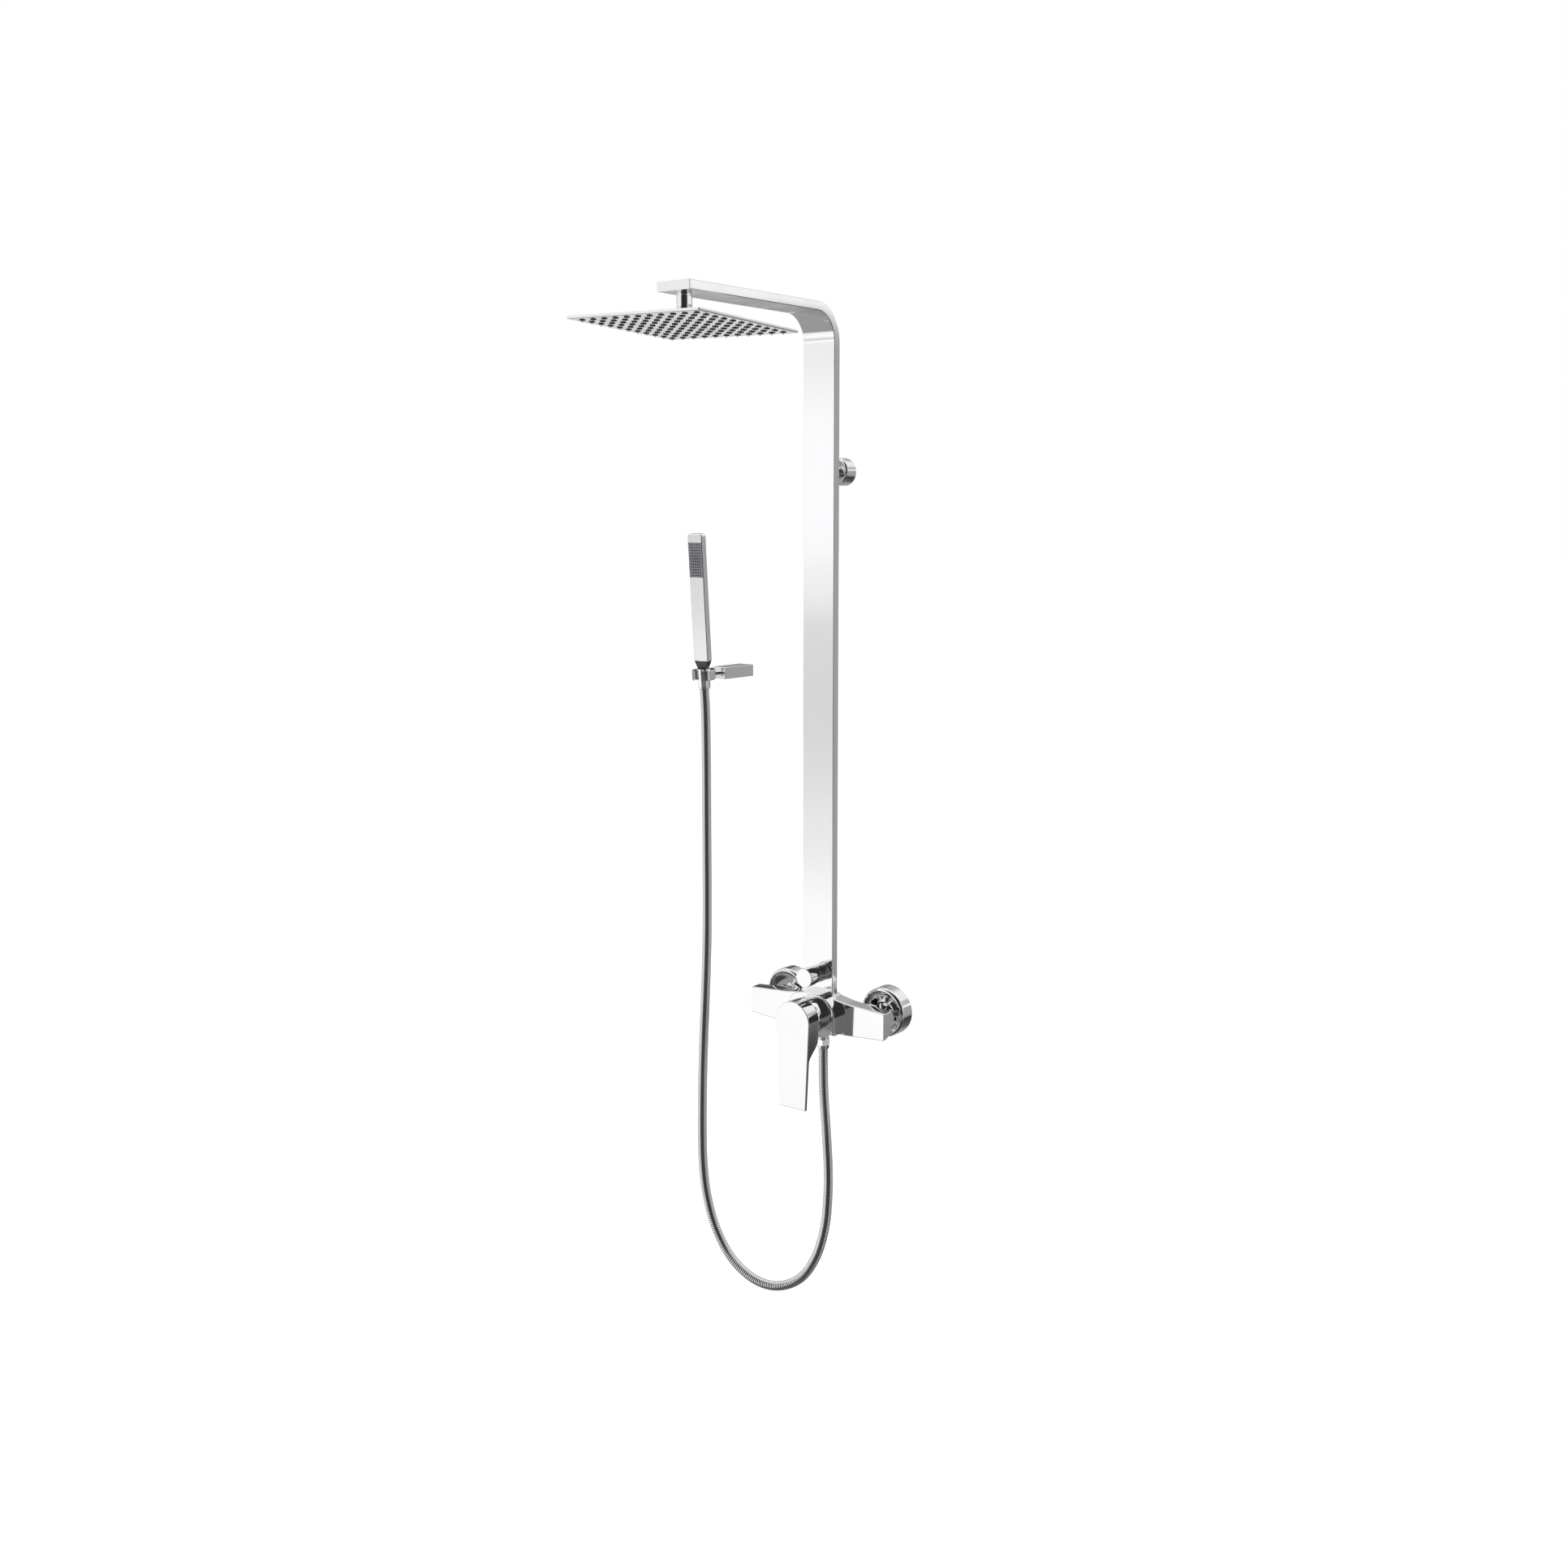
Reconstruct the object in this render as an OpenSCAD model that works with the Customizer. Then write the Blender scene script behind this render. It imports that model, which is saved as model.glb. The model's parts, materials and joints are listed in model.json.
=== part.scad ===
// Rainfall shower column: flat bar column, tilting square rain head, single-lever
// mixer on two eccentric wall unions, rotary diverter, hose and stick handset.
// Origin: on the finished wall, halfway between the two water inlets.
// +X to the right, +Y into the wall, +Z up. Lengths in millimetres.
// Distances called "out" are measured from the wall towards the user (-Y).

/* [Column] */
// Width of the flat column bar
bar_w = 52; // [48:1:56]
// Thickness of the flat column bar
bar_t = 12; // [12:0.5:13]
// Sheet thickness of the bar
bar_wall = 1.5; // [1.2:0.1:1.5]
// Distance of the bar's front face from the wall
bar_out = 62; // [60:1:64]
// Outer radius of the bend into the arm
bend_r = 50; // [44:1:60]
// Height of the arm's top face above the inlets
arm_top = 970; // [900:5:1000]
// Distance of the arm's end from the wall
arm_reach = 360; // [340:5:380]

/* [Rain head] */
// Side of the square rain head
head_w = 200; // [192:1:200]
// Nozzles along each side
nozzle_rows = 11; // [7:2:11]
// Distance between neighbouring nozzles
nozzle_pitch = 17.3; // [15:0.1:17.5]
// Depth of the nozzle face below the ball joint's centre
head_drop = 25; // [25:0.5:27]
// How the head hangs on its ball joint, as turns about X, Y and Z
head_lean = [-2.3, 0.9, 2.5]; // [-3:0.1:3]

/* [Mixer] */
// Half of the body's width
body_half_w = 115; // [110:1:120]
// Distance of the wings' front face from the wall
wing_out = 66; // [64:1:66]
// Distance of the boss's front face from the wall
boss_out = 80; // [80:1:82]
// Distance between the wall inlets
inlet_spacing = 168; // [166:1:170]
// Distance between the body's own nipples
nipple_spacing = 150; // [149:1:151]
// Distance of the lever's front face from the wall
lever_out = 121; // [121:1:124]
// Length of the lever below its axis
lever_len = 124; // [100:1:126]

/* [Wall parts] */
// Height of the column's wall bracket
bracket_z = 750; // [600:5:800]
// Diameter of the escutcheons
escutcheon_d = 70; // [66:1:72]
// Height of the handset holder
holder_z = 466; // [440:1:500]
// Distance of the holder's axis to the left of the column
holder_left = 175; // [160:1:200]
// Distance of the handset's axis from the wall
handset_out = 98; // [96:1:100]
// Forward lean of the handset in its holder
handset_lean = 4; // [2:0.5:6]

/* [Handset] */
// Width of the handset
handset_w = 26; // [24:1:28]
// Thickness of the handset
handset_t = 10; // [10:0.5:12]
// Length of the handset's shell
handset_len = 180; // [170:1:190]

/* [Hose] */
// Diameter of the metal hose
hose_d = 14; // [12:0.5:14]

/* [Hidden] */
$fn = 64;

big = 400;
eps = 0.01;
fit = 0.05;

// Column
bar_back = bar_out - bar_t;
bar_mid = bar_out - bar_t / 2;
body_top = 26;
foot_z = 18;
bend_y = bar_back + bend_r;
bend_z = arm_top - bend_r;
mid_r = bend_r - bar_t / 2;
arm_bottom = arm_top - bar_t;
cap_t = 2;
cap_plug = 8;
tube_r = 4;
tube_bore = 2.8;

// Ball joint
ball_out = 339;
ball_drop = 15;
ball_z = arm_bottom - ball_drop;
ball_r = 7;
seat_r = 8.6;
nut_r = 9.5;
nut_mouth_r = 6.45;
neck_r = 4.2;
neck_len = 16;
spigot_r = 5.5;
nipple_r = 6.5;

// Rain head, in its own frame with the ball's centre as origin
face_z = -head_drop;
face_t = 0.8;
mat_t = 0.8;
rim_w = 1.4;
skin_t = 0.8;
skin_z = face_z + face_t + mat_t + 1.2;
dome_h = 2;
dome_r = 70;
hub_r = 15.5;
hub_top = -neck_len;
hub_bottom = skin_z + skin_t + dome_h;
nozzle_r = 3.7;
nozzle_tip_r = 2.8;
nozzle_len = 2.8;

// Column wall bracket
rosette_r = 19;
rosette_depth = 22;
post_r = 10;
screw_r = 2;

// Mixer
axis_z = -5;
boss_half_w = 42;
boss_r = 31;
boss_bottom = -28;
wing_root = 52;
wing_root_top = 17;
wing_root_h = 46;
wing_root_d = 29;
wing_tip_top = 13;
wing_tip_h = 37.5;
wing_tip_d = 25;
centre_h = 55;
centre_d = 31;
cart_r = 17.4;
cart_back = 50;
pivot_out = 84;
dome_ball_r = 27.5;
lever_gap = 0.4;
hub_outer_r = 28.5;
hub_rear = 97;
lever_tip_w = 45;
lever_tip_t = 4.5;
root_drop = 29;
cove_end = 54;
spindle_w = 7;
outlet_out = 47;

// Diverter
diverter_z = 51;
block_half_w = 12.5;
block_back = 36;
block_top = 84;
knob_r = 13.5;
knob_front = 94;
knob_back = 79.4;
sleeve_r = 12.5;

// Inlets
union_r = 10.4;
union_stub = 14;
cup_depth = 24;
nut_af = 27;
nut_front = 37.3;
nut_back = 25.4;

// Hose end pieces
outlet_z = -30;
hose_nut_top = -47;
hose_start_z = -61;
cone_top_r = 10.1;
cone_bottom_r = 8.8;
clip_h = 14.5;
clip_r = 16.5;

// Route of the hose from the mixer's outlet to the handset
hose_route = [
    [0, -47, -61.2], [0, -47, -90], [2, -48, -130], [8, -50, -185],
    [12, -51, -236], [13, -53, -278], [10, -56, -323], [-3, -60, -370],
    [-28, -65, -408], [-66, -71, -428], [-105, -77, -425], [-142, -82, -401],
    [-167, -86, -362], [-181, -89, -317], [-187, -91, -270], [-188, -92, -215],
    [-186, -93, -141], [-183, -93, -67], [-179, -93, 5], [-176, -93, 77],
    [-175, -93, 149], [-175, -93, 210], [-175, -93, 270], [-175, -93, 340],
    [-175, -94, 408], [-175, -96.6, 445.5]
];
hose_sides = 10;
rings_per_span = 2;

// ---------- placing helpers ----------

// Children drawn up +Z point away from the wall, starting at a distance from it
module out(distance) {
    translate([0, -distance, 0])
        rotate([90, 0, 0])
            children();
}

// A cylinder that points away from the wall, from one distance to another
module rod_out(x, z, from, to, r, r2 = -1) {
    translate([x, 0, z])
        out(from)
            cylinder(h = to - from, r1 = r, r2 = r2 < 0 ? r : r2);
}

// A tube that points away from the wall
module tube_out(x, z, from, to, r, bore) {
    difference() {
        rod_out(x, z, from, to, r);
        rod_out(x, z, from - 1, to + 1, bore);
    }
}

// A tube along +Z
module tube_up(z, h, r, bore) {
    difference() {
        translate([0, 0, z])
            cylinder(h = h, r = r);
        translate([0, 0, z - 1])
            cylinder(h = h + 2, r = bore);
    }
}

// A flat outline in (Y, Z) pushed sideways, centred on X = 0
module across(width) {
    translate([-width / 2, 0, 0])
        rotate([90, 0, 90])
            linear_extrude(height = width)
                children();
}

// A rectangle with round corners
module round_rect(w, h, r) {
    square([w - 2 * r, h], center = true);
    square([w, h - 2 * r], center = true);
    for (sx = [-1, 1], sy = [-1, 1])
        translate([sx * (w / 2 - r), sy * (h / 2 - r)])
            circle(r = r, $fn = 32);
}

// ---------- column ----------

// The bar's side outline, in (Y, Z), shrunk by an inset on both faces
module bar_side(inset, extra) {
    translate([-bar_out + inset, foot_z - extra])
        square([bar_t - 2 * inset, bend_z - foot_z + extra]);
    translate([-arm_reach + cap_t - extra, arm_bottom + inset])
        square([arm_reach - cap_t - bend_y + extra, bar_t - 2 * inset]);
    intersection() {
        translate([-bend_y, bend_z])
            difference() {
                circle(r = bend_r - inset, $fn = 96);
                circle(r = bend_r - bar_t + inset, $fn = 96);
            }
        translate([-bend_y, bend_z])
            square([bend_r, bend_r]);
    }
}

module column_bar() {
    color("gainsboro")
    difference() {
        across(bar_w)
            bar_side(0, 0);
        across(bar_w - 2 * bar_wall)
            bar_side(bar_wall, 1);
        translate([-block_half_w - 0.1, -bar_back - bar_wall - 0.1, foot_z - 1])
            cube([2 * block_half_w + 0.2, bar_wall + 1, block_top - foot_z + 1.1]);
        rod_out(0, diverter_z, bar_mid, bar_out + 1, 9.1);
        translate([0, -ball_out, arm_bottom - 1])
            cylinder(h = bar_wall + 2, r = nipple_r + fit);
    }
}

module arm_end_cap() {
    color("gainsboro") {
        translate([-bar_w / 2, -arm_reach, arm_bottom])
            cube([bar_w, cap_t, bar_t]);
        translate([-bar_w / 2 + bar_wall + 0.1, -arm_reach + cap_t, arm_bottom + bar_wall + 0.1])
            cube([bar_w - 2 * bar_wall - 0.2, cap_plug, bar_t - 2 * bar_wall - 0.2]);
    }
}

module tube_ring() {
    difference() {
        circle(r = tube_r, $fn = 32);
        circle(r = tube_bore, $fn = 32);
    }
}

module riser_tube() {
    tube_start = block_top - 8;
    tube_end = ball_out - 10;
    color("sandybrown") {
        translate([0, -bar_mid, 0])
            tube_up(tube_start, bend_z - tube_start, tube_r, tube_bore);
        translate([0, -bend_y, bend_z])
            rotate([90, 0, 90])
                rotate_extrude(angle = 90)
                    translate([mid_r, 0])
                        tube_ring();
        translate([0, 0, bend_z + mid_r])
            out(bend_y)
                linear_extrude(height = tube_end - bend_y)
                    tube_ring();
    }
}

module arm_outlet_block() {
    block_l = 24;
    block_h = bar_t - 2 * bar_wall - 0.2;
    block_z = arm_bottom + bar_wall + 0.1;
    color("darkgoldenrod")
    difference() {
        translate([-block_l / 2, -ball_out - block_l / 2 + 2, block_z])
            cube([block_l, block_l, block_h]);
        translate([0, -ball_out, block_z - 1])
            cylinder(h = 6.1, r = nipple_r + fit);
        rod_out(0, bend_z + mid_r, ball_out - 15, ball_out - 9.9, tube_r + fit);
        rod_out(0, bend_z + mid_r, ball_out - 13, ball_out, tube_bore);
    }
}

module arm_nipple() {
    color("darkgoldenrod")
    translate([0, -ball_out, 0])
        tube_up(ball_z + 8, bar_wall + 12, nipple_r, 4);
}

// ---------- ball joint and rain head ----------

module at_ball() {
    translate([0, -ball_out, ball_z])
        children();
}

module in_head() {
    at_ball()
        rotate(head_lean)
            children();
}

module ball_nut() {
    mouth_z = -5.6;
    color("silver")
    at_ball()
        rotate_extrude()
            difference() {
                intersection() {
                    union() {
                        circle(r = nut_r);
                        square([nut_r, ball_drop]);
                    }
                    translate([0, mouth_z])
                        square([nut_r, ball_drop - mouth_z]);
                }
                circle(r = ball_r + fit);
                intersection() {
                    circle(r = seat_r + fit);
                    translate([0, -1.2])
                        square([nut_r, nut_r]);
                }
                translate([0, mouth_z - 1])
                    square([nut_mouth_r, 5]);
                translate([0, 5])
                    square([nipple_r + fit, ball_drop]);
            }
}

module ball_seat() {
    color("ivory")
    at_ball()
        rotate_extrude()
            intersection() {
                difference() {
                    circle(r = seat_r);
                    circle(r = ball_r + fit);
                }
                translate([0, 1.5])
                    square([nut_r, 4]);
            }
}

module swivel_ball() {
    groove_z = skin_z - 1.1;
    color("silver")
    in_head()
        difference() {
            union() {
                sphere(r = ball_r);
                translate([0, 0, -neck_len])
                    cylinder(h = neck_len, r = neck_r);
                translate([0, 0, skin_z - 0.3])
                    cylinder(h = hub_top - skin_z + 0.3, r = spigot_r);
                translate([0, 0, groove_z])
                    cylinder(h = 2, r = spigot_r - 0.8);
            }
            translate([0, 0, groove_z - 1])
                cylinder(h = 40, r = 2.5);
        }
}

module swivel_circlip() {
    color("dimgray")
    in_head()
        tube_up(skin_z - 1, 0.7, spigot_r + 1.5, spigot_r - 0.8);
}

module head_hub() {
    chamfer = 1.5;
    color("silver")
    in_head()
        difference() {
            union() {
                translate([0, 0, hub_bottom])
                    cylinder(h = hub_top - hub_bottom - chamfer, r = hub_r);
                translate([0, 0, hub_top - chamfer])
                    cylinder(h = chamfer, r1 = hub_r, r2 = hub_r - chamfer);
            }
            translate([0, 0, hub_bottom - 1])
                cylinder(h = 20, r = spigot_r + fit);
        }
}

module head_shell() {
    color("silver")
    in_head()
        difference() {
            union() {
                translate([-head_w / 2, -head_w / 2, face_z])
                    cube([head_w, head_w, skin_z + skin_t - face_z]);
                translate([0, 0, skin_z + skin_t])
                    cylinder(h = dome_h, r1 = dome_r + 8, r2 = dome_r);
            }
            translate([-head_w / 2 + rim_w, -head_w / 2 + rim_w, face_z - 1])
                cube([head_w - 2 * rim_w, head_w - 2 * rim_w, skin_z - face_z + 1]);
            translate([0, 0, skin_z - eps])
                cylinder(h = dome_h + eps, r1 = dome_r + 7, r2 = dome_r - 1);
            translate([0, 0, face_z])
                cylinder(h = 20, r = spigot_r + fit);
        }
}

// One child at each place of the nozzle grid
module nozzle_grid(rows, pitch) {
    half = (rows - 1) / 2;
    for (i = [-half:half], j = [-half:half])
        translate([i * pitch, j * pitch, 0])
            children();
}

module head_face_plate() {
    plate_w = head_w - 2 * rim_w - 0.1;
    color("lightgray")
    in_head()
        difference() {
            translate([-plate_w / 2, -plate_w / 2, face_z])
                cube([plate_w, plate_w, face_t]);
            nozzle_grid(nozzle_rows, nozzle_pitch)
                translate([0, 0, face_z - 1])
                    cylinder(h = 3, r = nozzle_r + 0.1, $fn = 24);
        }
}

module nozzle_mat() {
    mat_w = head_w - 10;
    color("dimgray")
    in_head() {
        translate([-mat_w / 2, -mat_w / 2, face_z + face_t])
            cube([mat_w, mat_w, mat_t]);
        nozzle_grid(nozzle_rows, nozzle_pitch) {
            translate([0, 0, face_z])
                cylinder(h = face_t, r = nozzle_r, $fn = 24);
            translate([0, 0, face_z - nozzle_len])
                cylinder(h = nozzle_len, r1 = nozzle_tip_r, r2 = nozzle_r, $fn = 24);
        }
    }
}

// ---------- column wall bracket ----------

module bracket_base() {
    color("darkgray")
    difference() {
        union() {
            rod_out(0, bracket_z, 0, 4, 16);
            rod_out(0, bracket_z, 4, 34, 7);
        }
        for (side = [-1, 1])
            rod_out(side * 11.5, bracket_z, -1, 5, screw_r + 0.2);
    }
}

module bracket_rosette() {
    color("silver")
    translate([0, 0, bracket_z])
        out(0)
            rotate_extrude()
                difference() {
                    union() {
                        square([rosette_r, rosette_depth - 3]);
                        square([rosette_r - 3, rosette_depth]);
                        translate([rosette_r - 3, rosette_depth - 3])
                            circle(r = 3, $fn = 32);
                    }
                    translate([0, -1])
                        square([rosette_r - 1.5, rosette_depth - 0.5]);
                    square([post_r + 0.2, big]);
                }
}

module bracket_post() {
    color("silver")
    difference() {
        tube_out(0, bracket_z, 15, bar_back, post_r, 7 + fit);
        translate([0, -30, bracket_z - post_r - 1])
            cylinder(h = 6, r = screw_r + fit);
    }
}

module bracket_grub_screw() {
    color("dimgray")
    translate([0, -30, bracket_z - post_r])
        cylinder(h = 3, r = screw_r);
}

// ---------- mixer body ----------

// Half section of a wing in (Y, Z): flat front and top, a back that curves in
// below until it meets the front's lower edge
function wing_section(depth, height, top) = [
    [-wing_out, top - height],
    [-wing_out, top],
    for (a = [90:-15:0])
        [
            -wing_out + depth * (0.72 + 0.28 * cos(a)),
            top - height * 0.28 * (1 - sin(a))
        ],
    for (a = [10:10:80])
        [
            -wing_out + depth * cos(a),
            top - height * (0.28 + 0.72 * sin(a))
        ]
];

// Height of the body's top edge at a place along the body: just under the
// boss's round shoulders as far as shoulder_end, then straight to the wing
shoulder_end = 28;
function shoulder_top(a) =
    let (d = max(0, a - boss_half_w + boss_r), r = boss_r - 0.4)
        axis_z + sqrt(r * r - d * d);
function top_z(x) =
    abs(x) <= shoulder_end
        ? shoulder_top(abs(x))
        : shoulder_top(shoulder_end)
            + (wing_root_top - shoulder_top(shoulder_end))
            * (abs(x) - shoulder_end) / (wing_root - shoulder_end);

module wing_slice(x, depth, height, top) {
    translate([x, 0, 0])
        across(0.1)
            polygon(wing_section(depth, height, top));
}

module wing() {
    hull() {
        wing_slice(wing_root, wing_root_d, wing_root_h, wing_root_top);
        wing_slice(body_half_w - 0.05, wing_tip_d, wing_tip_h, wing_tip_top);
    }
}

// The boss's outline seen from the front: round shoulders above, round below
module boss_outline() {
    shoulder_x = boss_half_w - boss_r;
    for (side = [-1, 1])
        translate([side * shoulder_x, axis_z])
            circle(r = boss_r);
    translate([-shoulder_x, axis_z])
        square([2 * shoulder_x, boss_r]);
    translate([-boss_half_w, boss_bottom])
        square([2 * boss_half_w, axis_z - boss_bottom]);
}

module mixer_centre() {
    intersection() {
        across(2 * wing_root)
            polygon(wing_section(centre_d, centre_h, body_top));
        out(0)
            linear_extrude(height = big)
                polygon([
                    [-wing_root, -big],
                    for (x = [-wing_root:4:wing_root]) [x, top_z(x)],
                    [wing_root, -big]
                ]);
    }
}

module mixer_body() {
    nipple_x = nipple_spacing / 2;
    color("gainsboro")
    difference() {
        union() {
            mixer_centre();
            wing();
            mirror([1, 0, 0])
                wing();
            out(wing_out - 5)
                linear_extrude(height = boss_out - wing_out + 5)
                    boss_outline();
            for (side = [-1, 1])
                rod_out(side * nipple_x, axis_z + 5, 32, 50, 10);
            rod_out(0, axis_z, 44, 60, 21);
            translate([0, -outlet_out, outlet_z - 1])
                cylinder(h = 20, r = 11);
        }
        rod_out(0, axis_z, cart_back, boss_out + 1, cart_r + fit);
        rod_out(0, axis_z, 74, boss_out + 1, 19 + fit);
        translate([-bar_w / 2 - fit, -bar_out - fit, foot_z])
            cube([bar_w + 2 * fit, bar_t + 2 * fit, 20]);
        for (side = [-1, 1]) {
            rod_out(side * nipple_x, axis_z + 5, 31, 56, 6);
            translate([side * 14, -52, axis_z + 5])
                rotate([0, side * 90, 0])
                    cylinder(h = nipple_x - 14, r = 4.5);
        }
        translate([0, -48, 14])
            cylinder(h = 20, r = 6 + fit);
        translate([0, -48, 6])
            cylinder(h = 9, r = 3);
        translate([0, -outlet_out, outlet_z - 9])
            cylinder(h = 16, r = 7.4 + fit);
    }
}

// ---------- cartridge and lever ----------

module cartridge() {
    color("whitesmoke")
    difference() {
        union() {
            rod_out(0, axis_z, cart_back, 73.9, cart_r);
            rod_out(0, axis_z, 73.9, 79.5, 13.8);
        }
        rod_out(0, axis_z, 71, 90, 9.1);
        for (side = [-1, 1])
            rod_out(side * 8, axis_z + 5, cart_back - 1, 60, 3);
        rod_out(0, axis_z - 9, cart_back - 1, 60, 3.5);
    }
}

module cartridge_nut() {
    color("darkgoldenrod")
        tube_out(0, axis_z, 74, 79.8, 19, 14);
}

module cartridge_cover() {
    mouth_r = 18;
    color("silver")
    translate([0, 0, axis_z])
        out(pivot_out)
            rotate_extrude()
                difference() {
                    union() {
                        intersection() {
                            circle(r = dome_ball_r, $fn = 96);
                            square([dome_ball_r, dome_ball_r]);
                        }
                        translate([0, boss_out - pivot_out])
                            square([dome_ball_r, pivot_out - boss_out]);
                    }
                    intersection() {
                        circle(r = dome_ball_r - 1.5, $fn = 96);
                        square([dome_ball_r, dome_ball_r]);
                    }
                    translate([0, boss_out - pivot_out + 1.5])
                        square([dome_ball_r - 1.5, pivot_out - boss_out]);
                    translate([0, -10])
                        square([mouth_r, big]);
                }
}

module cartridge_rotor() {
    color("lightgray")
    difference() {
        rod_out(0, axis_z, 71.1, pivot_out - 0.7, 9);
        translate([0, -pivot_out, axis_z])
            sphere(r = 5 + fit);
    }
}

module cartridge_spindle() {
    spindle_len = 34;
    color("darkgoldenrod")
    translate([0, -pivot_out, axis_z]) {
        sphere(r = 5);
        rotate([90, 0, 0])
            translate([-spindle_w / 2, -spindle_w / 2, 0])
                cube([spindle_w, spindle_w, spindle_len]);
    }
}

// The lever seen from the front, about its own axis: a round hub whose rim runs
// on into the tapering blade, drawn as one outline
module lever_front() {
    taper = asin((hub_outer_r - lever_tip_w / 2) / lever_len);
    steps = 48;
    polygon([
        for (i = [0:steps])
            let (a = -taper + (180 + 2 * taper) * i / steps)
                [hub_outer_r * cos(a), hub_outer_r * sin(a)],
        [-lever_tip_w / 2, -lever_len],
        [lever_tip_w / 2, -lever_len]
    ]);
}

// The lever's side outline in (Y, Z): full depth at the hub, then a cove
module lever_side() {
    blade_back = lever_out - lever_tip_t;
    cove_d = blade_back - 1 - hub_rear;
    cove_h = cove_end - root_drop;
    polygon([
        [-lever_out, hub_outer_r + 1],
        [-hub_rear, hub_outer_r + 1],
        for (a = [0:10:90])
            [
                -hub_rear - cove_d * (1 - cos(a)),
                -root_drop - cove_h * sin(a)
            ],
        [-blade_back, -lever_len - 1],
        [-lever_out, -lever_len - 1]
    ]);
}

module lever() {
    socket_w = spindle_w + 0.1;
    socket_end = 119;
    color("whitesmoke")
    difference() {
        intersection() {
            translate([0, 0, axis_z])
                out(0)
                    linear_extrude(height = big)
                        lever_front();
            translate([0, 0, axis_z])
                across(big)
                    lever_side();
        }
        translate([0, -pivot_out, axis_z])
            sphere(r = dome_ball_r + lever_gap, $fn = 96);
        translate([-socket_w / 2, -socket_end, axis_z - socket_w / 2])
            cube([socket_w, 20, socket_w]);
        translate([-hub_outer_r - 1, -115.5, axis_z])
            rotate([0, 90, 0])
                cylinder(h = hub_outer_r, r = 2 + fit, $fn = 32);
        translate([-hub_outer_r - 1, -115.5, axis_z])
            rotate([0, 90, 0])
                cylinder(h = 3.2, r = 3.2, $fn = 32);
    }
}

module lever_grub_screw() {
    color("dimgray")
    translate([-12, -115.5, axis_z])
        rotate([0, 90, 0])
            cylinder(h = 12 - spindle_w / 2, r = 2, $fn = 32);
}

module lever_index_cap() {
    color("firebrick")
    translate([-hub_outer_r + 0.2, -115.5, axis_z])
        rotate([0, 90, 0])
            cylinder(h = 2, r = 3.15, $fn = 32);
}

// ---------- diverter ----------

module riser_connector() {
    color("darkgoldenrod")
    translate([0, -48, 0])
        tube_up(15, 22, 6, 4);
}

module diverter_block() {
    block_front = bar_out - bar_wall - 0.1;
    color("darkgoldenrod")
    difference() {
        translate([-block_half_w, -block_front, body_top - 0.4])
            cube([2 * block_half_w, block_front - block_back, block_top - body_top + 0.4]);
        rod_out(0, diverter_z, 42, big, 8.9 + fit);
        translate([0, -48, body_top - 1])
            cylinder(h = 12.1, r = 6 + fit);
        translate([0, -48, body_top])
            cylinder(h = 20, r = 3);
        translate([0, -bar_mid, block_top - 8])
            cylinder(h = 9, r = tube_r + fit);
        translate([0, -bar_mid, diverter_z])
            cylinder(h = 30, r = tube_bore);
    }
}

module diverter_cartridge() {
    color("darkgoldenrod")
    difference() {
        rod_out(0, diverter_z, 42.1, 78, 8.9);
        rod_out(0, diverter_z, 54, 79, 3 + fit);
        for (a = [0:90:270])
            translate([0, -48, diverter_z])
                rotate([0, a, 0])
                    cylinder(h = 10, r = 2.5);
    }
}

module diverter_sleeve() {
    groove_r = sleeve_r - 1;
    color("silver")
    translate([0, 0, diverter_z])
        out(bar_out)
            rotate_extrude()
                difference() {
                    square([sleeve_r, 17]);
                    translate([0, -1])
                        square([8.9 + fit, 20]);
                    for (z = [3.5, 9.5])
                        translate([groove_r, z])
                            square([3, 2.2]);
                }
}

module diverter_spindle() {
    color("silver")
        rod_out(0, diverter_z, 55, 90, 3);
}

module diverter_knob() {
    chamfer = 1;
    color("gainsboro")
    difference() {
        union() {
            rod_out(0, diverter_z, knob_back, knob_front - chamfer, knob_r);
            rod_out(0, diverter_z, knob_front - chamfer, knob_front, knob_r, knob_r - chamfer);
        }
        rod_out(0, diverter_z, knob_back - 1, 90.1, 3 + fit);
        translate([0, -86, diverter_z - knob_r - 1])
            cylinder(h = knob_r, r = 1.5 + fit, $fn = 32);
    }
}

module diverter_knob_screw() {
    color("dimgray")
    translate([0, -86, diverter_z - knob_r + 1])
        cylinder(h = knob_r - 4, r = 1.5, $fn = 32);
}

// ---------- inlets ----------

// An eccentric union: one thread in the wall, the other nearer the column
module wall_union(side) {
    wall_x = side * inlet_spacing / 2;
    body_x = side * nipple_spacing / 2;
    color("silver")
    difference() {
        union() {
            rod_out(wall_x, 0, -union_stub, 0, union_r);
            rod_out(wall_x, 0, 0, 20, 10);
            rod_out(body_x, 0, 14, 30, 10);
        }
        rod_out(wall_x, 0, -union_stub - 1, 17, 6);
        rod_out(body_x, 0, 16, 31, 6);
    }
}

module left_union() {
    wall_union(-1);
}

module right_union() {
    wall_union(1);
}

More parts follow.
